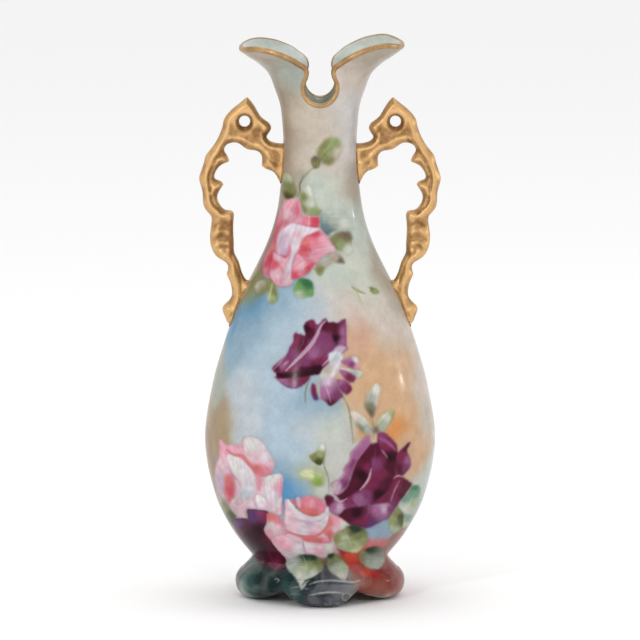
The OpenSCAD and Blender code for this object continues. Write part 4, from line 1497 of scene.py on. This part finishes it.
PINK_ROSE_MIDDLE = """
petal -30,48 -25,47.5 -21,43.5 -19,39.3 -20.5,36.7 -24,35.8 -27,33 -30.5,36 -31.5,39 -30,42 / -27.6,46,coral
   -23,44,rose -27.6,40.5,pearl -24,39.5,blush -29.5,37,pink;
petal -27,33 -19.7,36 -13.6,35 -10,33 -8.8,28.8 -8.3,24.5 -13.6,23 -18,22.7 -21.4,25.8 -24.5,28.4 /
   -22,32,pink -17,33,blush -18,28,pink -13,27,petal -10.5,25,pearl -18,24.5,pearl / edge=petal width=0.6;
petal -8.8,32.3 -4,31.5 2,31 6,32 7,28.4 6.6,25 2.2,22.7 -0.4,23.6 -4,25 -8,24.5 / -6,29,petal 0,28.5,blush
   -1,25.4,pink 5,28,mist -6.5,26,blush / edge=petal width=0.6;
petal 4.8,46.8 10,46.4 16.6,41 12.7,38.5 7.4,35 6,32 4,35 2.2,37.6 4.8,42 / 6,43,coral 9,43.5,pink
   13.5,41,mist 5.5,37,coral 8.5,39,blush;
petal -19.7,56.4 -19.7,52 -19.8,46 -19.3,40.2 -14.4,36.3 -8.8,35.2 -2.2,35.2 1.5,38 4.2,42 5,46 5,49.5 4,52
   -4,50 -12,50 -17,55 / -18,50,blush -15,41,blush -9,39.5,petal -2,38.5,blush 2,43,petal -7,42.5,lilac
   -3,36.5,pink;
petal -9.6,57.7 -6.6,58.3 -2.2,57.7 1.3,56 3.5,52.5 3.5,49.4 1,47.7 -3,46 -7.4,47 -11,49.4 -13.6,52
   -16.6,55.6 -16,56.6 -13.6,55.6 / -10,50.5,coral -3,47.4,coral 2.4,51,rose -5,54,pink -8,56,rose 0,54,rose
   -14,54,coral -5,50,coral;
line -8.4,55.4 -5.6,56.6 -2.4,55.4 -1.4,52.6 -4,50.6 -6.8,51.8 -6.2,54 / 0.7 coral 0.6;
petal -13.8,56.6 -11.6,57.4 -10.6,53 -12,51.4 / -12.5,55.5,lilac -11.6,53,pink;
petal -18.2,56.4 -17.4,52 -15,48.4 -11.5,45.7 -7.5,44.3 -2.4,44.3 1.4,46 4.4,49.6 4,51.8 2,48.6 -2.2,46.4
   -7.4,46.9 -12.7,50 -16,54.2 / -16.6,52.5,pearl -10,47,petal -3,45.4,petal 2.6,48.2,pearl / edge=white
   width=0.4;
line -17.4,47.4 -13,44.6 -7,43.4 -1,43.8 3,46 / 0.7 lilac 0.8;
line -19.7,38.7 -14.4,36.2 -8.8,34.8 -3,35 1.5,37.8 4.4,42 5.4,46 / 1.9 coral 0.8;
petal -10,35 -3,34.6 2.2,34.2 5.7,32 2.2,31 -4,31.5 -8.3,32.4 / -7,33.8,coral -1,32.8,coral 3.6,32.2,rose /
   soft=0.9;
line -21.8,55 -21.4,51.6 -21,48.6 / 1.5 rose 0.75;
line -10,32.2 -9,28.4 -7.9,25 / 0.6 mauve 0.6;
line -20.6,35.6 -18.6,37 -16.4,36.6 / 1.2 coral 0.6;
"""

LOWER_LEAVES = """
petal 10,28 15.3,25.8 19.3,25 22,21.8 24,18 28.4,16 34,15 34,11 26.3,11.5 20.6,13.5 17.5,15.3 15,20 12,25 /
   12,27,red 16.5,22,rust 19,22.5,rust 20.5,16,red 26,13.5,rust 31,13,red;
petal 1.5,88 3,83 1,76.5 -2,76.5 -6,80.5 -3,83 -0.7,85.5 / -1,78,moss 0,82,leaf -4,80.5,olive 1.5,86,mist /
   soft=0.5;
petal -11.5,71.5 -7,73.5 -0.7,73.5 2,70 1.5,65 -3,64.5 -6,68 -9.5,69 / -8,71.5,lemon -2.2,67,lime
   -2,71.5,pale_leaf -5,70,lemon / soft=1.3;
line 3,84 2.3,76 4.6,69 5.2,61 / 0.9 stem 0.8;
line 4.5,72 8,67 9,60 / 0.7 pale_leaf 0.6;
petal 44.7,51.5 47.3,47.5 48.3,43 46,38.3 42,36.5 39.4,39.7 39.4,45 42,49 / 46.6,46,moss 47.6,43,moss
   42,44,leaf 43,38.5,pale_leaf 45,49,olive;
petal 48,46 52.6,46 51.2,41.6 47.3,39 47.6,42.5 / 50.5,45,teal 49,41,pale_leaf / soft=0.5;
petal 50,59.4 52.6,63.3 56.5,63.3 57,58.7 56,54 54,48 50,47 45.3,50.8 45.3,54.8 / 54,62,emerald 54,60,teal
   48,56,teal 50,50,mist 54,53,pale_leaf 47,52,mist;
petal 22.3,24.5 25,27 31,29 36,27 37,20 33,15.5 27,16.5 22.8,20.5 / 28,27.8,pine 24,25,olive 27,21,dove
   33,20,dove 24.5,20,stem;
petal 7.4,34 10,37.6 14,39.3 15.3,40.7 19.3,41.5 24,40.2 27,36.3 26.7,32 24,28 21,25.3 15.3,26.2 10,28.4
   8,31.5 / 18.5,40.2,pine 21,39,pine 15,38,olive 22,35.6,olive 14,34,pale_leaf 18,31,leaf 13,29,pale_leaf
   20.5,27.5,lemon 25,33,leaf 9,33.5,olive;
line 14,38.4 16.4,33 18.6,27.4 / 0.6 mist 0.5;
petal -19.3,20 -12.7,23.6 -7.4,24.6 -2.2,23.4 1.7,19.2 1,15.3 -3,12.2 -7,9 -10.5,4.5 -12.7,9 -15.3,12.6
   -18.4,15.7 / -4,23.4,pine -8,23.6,pine 0,19,olive -6,18.5,leaf -14,19.5,dove -16,16,dove -10.5,12,mist
   -10.5,6.5,bone -4,13,mist -9.5,17,pale_leaf;
line -9.6,23.6 -7.6,17 -9.8,8 / 0.7 mist 0.5;
petal 4,21.4 4.8,24.5 8,25 10.5,23 13.6,20.5 16.2,15.7 14.4,9.6 11.4,10.9 6.6,14 4.4,17.4 / 6.4,24.2,pine
   9,22.6,olive 5.5,20,stem 9,17,dove 12.5,17,pale_leaf 13,11.5,bone;
"""


# Strokes on the foot. Most of them are painted light that brings out the raised work: highlights on the
# ridges, ring and buttons, and shade beside them.
def foot_marks_and_painted_light(c):
    # Painted shade: the dark spruce strokes beside and under the front roll's ridges. Painted highlights: the
    # bone strokes along the ridge tops.
    c.line([(-10, 7), (-8, 9.6), (-4, 11)], 1.1, "spruce", 0.7)
    c.line([(-6, 6.4), (0, 7.9), (6, 8.3), (13, 8), (19, 7.2)], 1.4, "spruce", 0.5)
    c.line([(-6, 7.6), (-1, 9.2), (5.3, 9.8), (12, 9.5), (19, 8.7), (23, 9.6)], 0.9, "bone", 0.85)
    c.line([(-6, 0), (0, 1), (8, 1.4)], 1.5, "spruce", 0.45)
    c.line([(-6, 1.4), (-1.6, 2.3), (4, 3), (9, 2.9), (13, 2.3)], 1.0, "bone", 0.85)
    # Painted highlights: the bone ring and the small curls that sit on the raised ring and buttons.
    c.line([(15, 2.3), (17.2, 1.4), (17.4, -0.8), (15.6, -2), (13.2, -1.2), (12.7, 0.8), (14, 2.2)], 0.8,
        "bone", 0.85)
    for x, up in ((4.2, -4.4), (9.8, -3.8), (15, -3.9)):
        c.line([(x - 1.2, up + 0.6), (x, up - 0.4), (x + 1.3, up + 0.4)], 0.7, "bone", 0.8)
    c.line([(-26, 9.8), (-24.6, 10.4), (-23.4, 9.4), (-24.4, 8.6)], 0.6, "bone", 0.7)
    # Painted highlights: the two ash dabs on the left of the front roll.
    c.line([(-16, 5.4), (-12, 6.2), (-9, 5.4)], 0.9, "ash", 0.7)
    c.line([(-17, 1.4), (-14, 2), (-11, 1.4)], 1.4, "ash", 0.45)
    c.line([(-46, 12), (-41, 17), (-34, 19.6)], 1.3, "clay", 0.6)
    c.line([(30, 16), (37, 13), (43, 9)], 1.0, "wine", 0.4)


def paint_back(c):
    """A lighter spray: a bud, a pink rose with leaves, a small dark rose, and sprigs at the sides."""
    c.stand(180, shift=(4, 6), size=0.9)
    paint(c, CRIMSON_BUD)
    c.stand(180, shift=(16, 44), size=1.0)
    paint(c, LOWER_LEAVES + PINK_ROSE_MIDDLE)
    c.stand(180, shift=(-44, 22), size=0.8)
    paint(c, OPEN_CRIMSON_ROSE)
    c.stand(180, shift=(2, 0), size=0.9, mirror=True)
    paint(c, UPPER_LEAVES)
    for azimuth, shift, mirror in ((90, (-30, -8), False), (270, (-26, -4), True)):
        c.stand(azimuth, shift=shift, size=0.9, mirror=mirror)
        paint(c, SPRIG_ABOVE)


paint_back(canvas)
canvas.stand(0)
for motif in (UPPER_LEAVES, UPPER_ROSE, CRIMSON_BUD, SPRIG_ABOVE, OPEN_CRIMSON_ROSE, PINK_ROSE_LEFT,
              DARK_PETAL, PINK_ROSE_MIDDLE, LOWER_LEAVES):
    paint(canvas, motif)
foot_marks_and_painted_light(canvas)
canvas.store()
print("share of the points with paint on them:", round(float((canvas.body > 0.1).mean()), 2))

# %% [markdown]
# ## Glaze, biscuit and gold
# The painted glaze reads its colours from the points. On top it has what a real glaze has:
# tiny uneven spots of pigment, a gloss that is never quite even, and a skin that ripples
# a little like orange peel and stands up slightly where the paint is thick. Inside the
# mouth the glaze is plain, and where the vase stands the body is bare biscuit.

# %% Glaze materials
def material_nodes(name):
    """A material with a short way to add nodes and links, and its shader."""
    material = bpy.data.materials.new(name)
    material.use_nodes = True
    tree = material.node_tree

    def add(kind, inputs=(), **settings):
        node = tree.nodes.new(kind)
        for key, value in settings.items():
            setattr(node, key, value)
        for key, value in dict(inputs).items():
            if isinstance(value, bpy.types.NodeSocket):
                tree.links.new(value, node.inputs[key])
            else:
                node.inputs[key].default_value = value
        return node

    return material, add, tree.nodes["Principled BSDF"]


def grains(add, scale, detail=4.0, roughness=0.55, distortion=0.0):
    """Noise over the object's own coordinates; the scale is in grains per metre."""
    place = add("ShaderNodeTexCoord").outputs["Object"]
    made = {"Vector": place, "Scale": scale, "Detail": detail, "Roughness": roughness,
            "Distortion": distortion}
    return add("ShaderNodeTexNoise", made).outputs["Fac"]


def sum_of(add, operation, *values):
    """One of the Math node's sums."""
    return add("ShaderNodeMath", dict(enumerate(values)), operation=operation).outputs[0]


def finish_surface(add, shader, colour, rough, bump):
    """Wires colour and roughness, and a bump given as its inputs, into a shader."""
    relief_node = add("ShaderNodeBump", bump)
    wires = (("Base Color", colour), ("Roughness", rough), ("Normal", relief_node.outputs["Normal"]))
    for socket, value in wires:
        shader.id_data.links.new(value, shader.inputs[socket])


def spread(add, value, low, high, from_low=0.3, from_high=0.7):
    return add("ShaderNodeMapRange", {"Value": value, "From Min": from_low, "From Max": from_high,
                                      "To Min": low, "To Max": high}).outputs["Result"]


def tint(add, colour, factor):
    """A colour made lighter or darker by a factor."""
    return add("ShaderNodeVectorMath", {0: colour, "Scale": factor}, operation="SCALE").outputs["Vector"]


VEIN_COLOUR = (0.42, 0.45, 0.45, 1)
GLAZE_SHEEN = 0.07


def painted_glaze(name, rough, ripple, veins):
    """Glaze over the painting, with pale veins where they are asked for."""
    material, add, shader = material_nodes(name)
    paint = add("ShaderNodeAttribute", attribute_name="painting")
    speck = spread(add, grains(add, 1500, 3), 0.70, 0.775)
    wash = spread(add, grains(add, 260, 5, 0.65), 0.965, 1.035)
    colour = tint(add, tint(add, paint.outputs["Color"], speck), wash)
    if veins:
        vein = sum_of(add, "ABSOLUTE", sum_of(add, "SUBTRACT", grains(add, 42, 4, 0.5, 0.9), 0.5))
        vein = sum_of(add, "MULTIPLY", spread(add, vein, 1.0, 0.0, 0.0, 0.11), veins)
        mixed = {"Factor": vein, "A": colour, "B": VEIN_COLOUR}
        colour = add("ShaderNodeMix", mixed, data_type="RGBA").outputs["Result"]
    peel = two_heights(add, grains(add, 420, 3), 0.6, paint.outputs["Alpha"], 0.9)
    finish_surface(add, shader, colour, spread(add, grains(add, 130, 4), rough - 0.04, rough + 0.07),
                   {"Strength": ripple, "Distance": 0.00012, "Height": peel})
    shader.inputs["Specular IOR Level"].default_value = GLAZE_SHEEN
    return material


def two_heights(add, first, first_share, second, second_share):
    """The sum of two heights, each with its own share."""
    return sum_of(add, "MULTIPLY_ADD", second, second_share, sum_of(add, "MULTIPLY", first, first_share))


def plain_glaze(name):
    """Pale glaze that gives way to bare biscuit under the waist."""
    material, add, shader = material_nodes(name)
    place = add("ShaderNodeTexCoord").outputs["Object"]
    height_z = add("ShaderNodeSeparateXYZ", {0: place}).outputs["Z"]
    cloud = grains(add, 60, 5, 0.6)
    glaze = add("ShaderNodeValToRGB", {"Fac": cloud})
    glaze.color_ramp.elements[0].position, glaze.color_ramp.elements[1].position = 0.35, 0.68
    glaze.color_ramp.elements[0].color = (0.36, 0.40, 0.36, 1)
    glaze.color_ramp.elements[1].color = (0.50, 0.52, 0.48, 1)
    edge = sum_of(add, "MULTIPLY_ADD", cloud, 0.004, height_z)
    glazed = spread(add, edge, 0.0, 1.0, 0.0272, 0.0282)
    mixed = {"Factor": glazed, "A": (0.60, 0.56, 0.49, 1), "B": glaze.outputs["Color"]}
    base = add("ShaderNodeMix", mixed, data_type="RGBA")
    speck = spread(add, grains(add, 900, 4), 0.93, 1.05)
    colour = tint(add, base.outputs["Result"], speck)
    finish_surface(add, shader, colour, spread(add, glazed, 0.75, 0.2, 0.0, 1.0),
                   {"Strength": 0.25, "Distance": 0.0002, "Height": grains(add, 300, 4)})
    return material


glaze = painted_glaze("painted glaze", 0.16, 0.22, 0)
foot_glaze = painted_glaze("marbled foot glaze", 0.2, 0.35, 0.13)
inside_glaze = plain_glaze("plain glaze and biscuit")

# %% [markdown]
# Burnished gold on china is brushed on as a brown paste, fired matt and rubbed in places.
# It keeps the brush's grain. On the handles it is painted dark brown in the hollows of the
# relief as painted shade, and bright on the ribs, partly where fingers rub it and partly as
# painted highlight. The handles store how high each point lies, and the gold reads that.

# %% Gold materials
def matt_gold(name, bright, deep, rough):
    """Gold that is bright on the ribs, where it is rubbed and as painted highlight, and brown in the hollows
    as painted shade.
    """
    material, add, shader = material_nodes(name)
    lift = add("ShaderNodeAttribute", attribute_name="lift").outputs["Fac"]
    cloud = grains(add, 170, 6, 0.62)
    # Low lift, in the hollows, gives the deep colour as painted shade. High lift, on the ribs, gives the
    # bright one as rubbing and painted highlight.
    rubbing_and_hollow_shade = sum_of(add, "MULTIPLY_ADD", lift, 0.8, spread(add, cloud, -0.1, 0.45))
    tone = add("ShaderNodeValToRGB", {"Fac": rubbing_and_hollow_shade})
    ramp = tone.color_ramp
    ramp.elements[0].position, ramp.elements[0].color = 0.0, (*deep, 1)
    ramp.elements[1].position, ramp.elements[1].color = 0.75, (*bright, 1)
    speck = spread(add, grains(add, 2200, 3, 0.7), 0.82, 1.1)
    brushed = two_heights(add, grains(add, 900, 5, 0.65), 0.5, grains(add, 240, 4), 0.8)
    colour = tint(add, tone.outputs["Color"], speck)
    finish_surface(add, shader, colour, spread(add, cloud, rough + 0.1, rough - 0.06),
                   {"Strength": 0.45, "Distance": 0.0003, "Height": brushed})
    shader.inputs["Metallic"].default_value = 0.72
    return material


# The handles' deep brown is the painted shade of their hollows.
handle_gold = matt_gold("matt handle gold", (0.66, 0.40, 0.17), (0.22, 0.105, 0.035), 0.42)
rim_gilt = matt_gold("worn rim gold", (0.62, 0.40, 0.18), (0.34, 0.20, 0.09), 0.34)


def store_lift(piece):
    """Stores how far each point of a handle stands out of its neighbours, from 0 to 1."""
    work = bmesh.new()
    work.from_mesh(piece.data)
    work.verts.ensure_lookup_table()
    place = np.array([v.co for v in work.verts]) / MM
    normal = np.array([v.normal for v in work.verts])
    pairs = np.array([[v.index for v in edge.verts] for edge in work.edges])
    work.free()
    smooth = place.copy()
    for _ in range(26):
        total, count = smooth.copy(), np.ones(len(place))
        for a, b in ((0, 1), (1, 0)):
            np.add.at(total, pairs[:, a], smooth[pairs[:, b]])
            np.add.at(count, pairs[:, a], 1)
        smooth = total / count[:, None]
    lift = ((place - smooth) * normal).sum(1)
    # Points that sit below their neighbours get a low lift, which the gold paints as shade.
    lift = np.clip(0.42 + 0.9 * (lift - np.median(lift)), 0, 1)
    layer = piece.data.attributes.new("lift", "FLOAT", "POINT")
    layer.data.foreach_set("value", lift.astype(np.float32))


for handle in handles:
    store_lift(handle)
for pieces, material in ((belly_skins + [neck_skin, waist_bead], glaze), ([foot], foot_glaze),
                         ([porcelain], inside_glaze), (handles + lutes, handle_gold), ([rim_gold], rim_gilt)):
    for piece in pieces:
        piece.data.materials.clear()
        piece.data.materials.append(material)
print("materials:", [material.name for material in bpy.data.materials])

# %% [markdown]
# ## Fit the pieces to the frame
# The vase is one rigid thing, so every piece rides on the body called root, and the frame's
# own nodes that the pieces stand in for are hidden.

# %% Ride
for piece in (porcelain, *belly_skins, neck_skin, rim_gold, waist_bead, foot, *handles, *lutes):
    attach(piece, "root")
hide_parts("foot")
for handle, node in zip(handles, ("handle_left", "handle_right")):
    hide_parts(node)
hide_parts("belly_shell", "neck_shell", "mouth_lips")
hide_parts("rim_gilding")
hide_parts("foot_lute_ring")
for bead, node in zip(lutes, LUTES):
    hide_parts(node)

# %% [markdown]
# ## Studio, floor and camera
# A vase like this is shown on white under big soft lights, so that the glaze has a few long
# highlights and no hard shadow. The camera stands far off with a long lens and
# looks down by eight degrees, which keeps the two handles and the foot free of distortion.

# %% Light and look
VIEW_WIDTH = 366 * MM
LENS = 500


def aim(thing, target):
    """Turns a light or the camera to look at a place."""
    thing.rotation_euler = (Vector(target) - thing.location).to_track_quat("-Z", "Y").to_euler()


def soft_light(name, place, size, power):
    """A flat white light that faces the middle of the vase."""
    light = bpy.data.lights.new(name, "AREA")
    light.shape = "RECTANGLE"
    light.size, light.size_y = size
    light.energy = power
    holder = put_in(name, light)
    holder.location = place
    aim(holder, (0, 0, 0.16))


soft_light("strip left", (-0.92, -1.66, 0.85), (0.09, 0.2), 7)
soft_light("strip right", (0.31, -1.87, 0.85), (0.06, 0.16), 4)
soft_light("window", (1.8, 0.35, 0.45), (0.09, 0.07), 3.0)
soft_light("top", (0, 0.3, 2.0), (1.4, 1.4), 6)
world = bpy.data.worlds.new("studio")
world.use_nodes = True
world.node_tree.nodes["Background"].inputs["Color"].default_value = (1, 1, 1, 1)
world.node_tree.nodes["Background"].inputs["Strength"].default_value = 0.96
bpy.context.scene.world = world

camera_data = bpy.data.cameras.new("camera")
camera_data.lens = LENS
camera_data.clip_end = 100
camera = put_in("camera", camera_data)
distance = VIEW_WIDTH / camera_data.sensor_width * LENS
target = Vector((0, 0, 159.5 * MM))
camera.location = target + distance * Vector((0, -math.cos(STOOL_TILT), math.sin(STOOL_TILT)))
aim(camera, target)
bpy.context.scene.camera = camera
bpy.context.scene.view_settings.view_transform = "Standard"

FLOOR_HALF = 12
floor_mesh = bpy.data.meshes.new("floor")
corners = [(x * FLOOR_HALF, y * FLOOR_HALF, 0) for x, y in ((-1, -1), (1, -1), (1, 1), (-1, 1))]
floor_mesh.from_pydata(corners, [], [(0, 1, 2, 3)])
floor = put_in("floor", floor_mesh)
paper = bpy.data.materials.new("backdrop paper")
paper.use_nodes = True
paper.node_tree.nodes["Principled BSDF"].inputs["Base Color"].default_value = (0.92, 0.92, 0.92, 1)
paper.node_tree.nodes["Principled BSDF"].inputs["Roughness"].default_value = 0.9
floor.data.materials.append(paper)
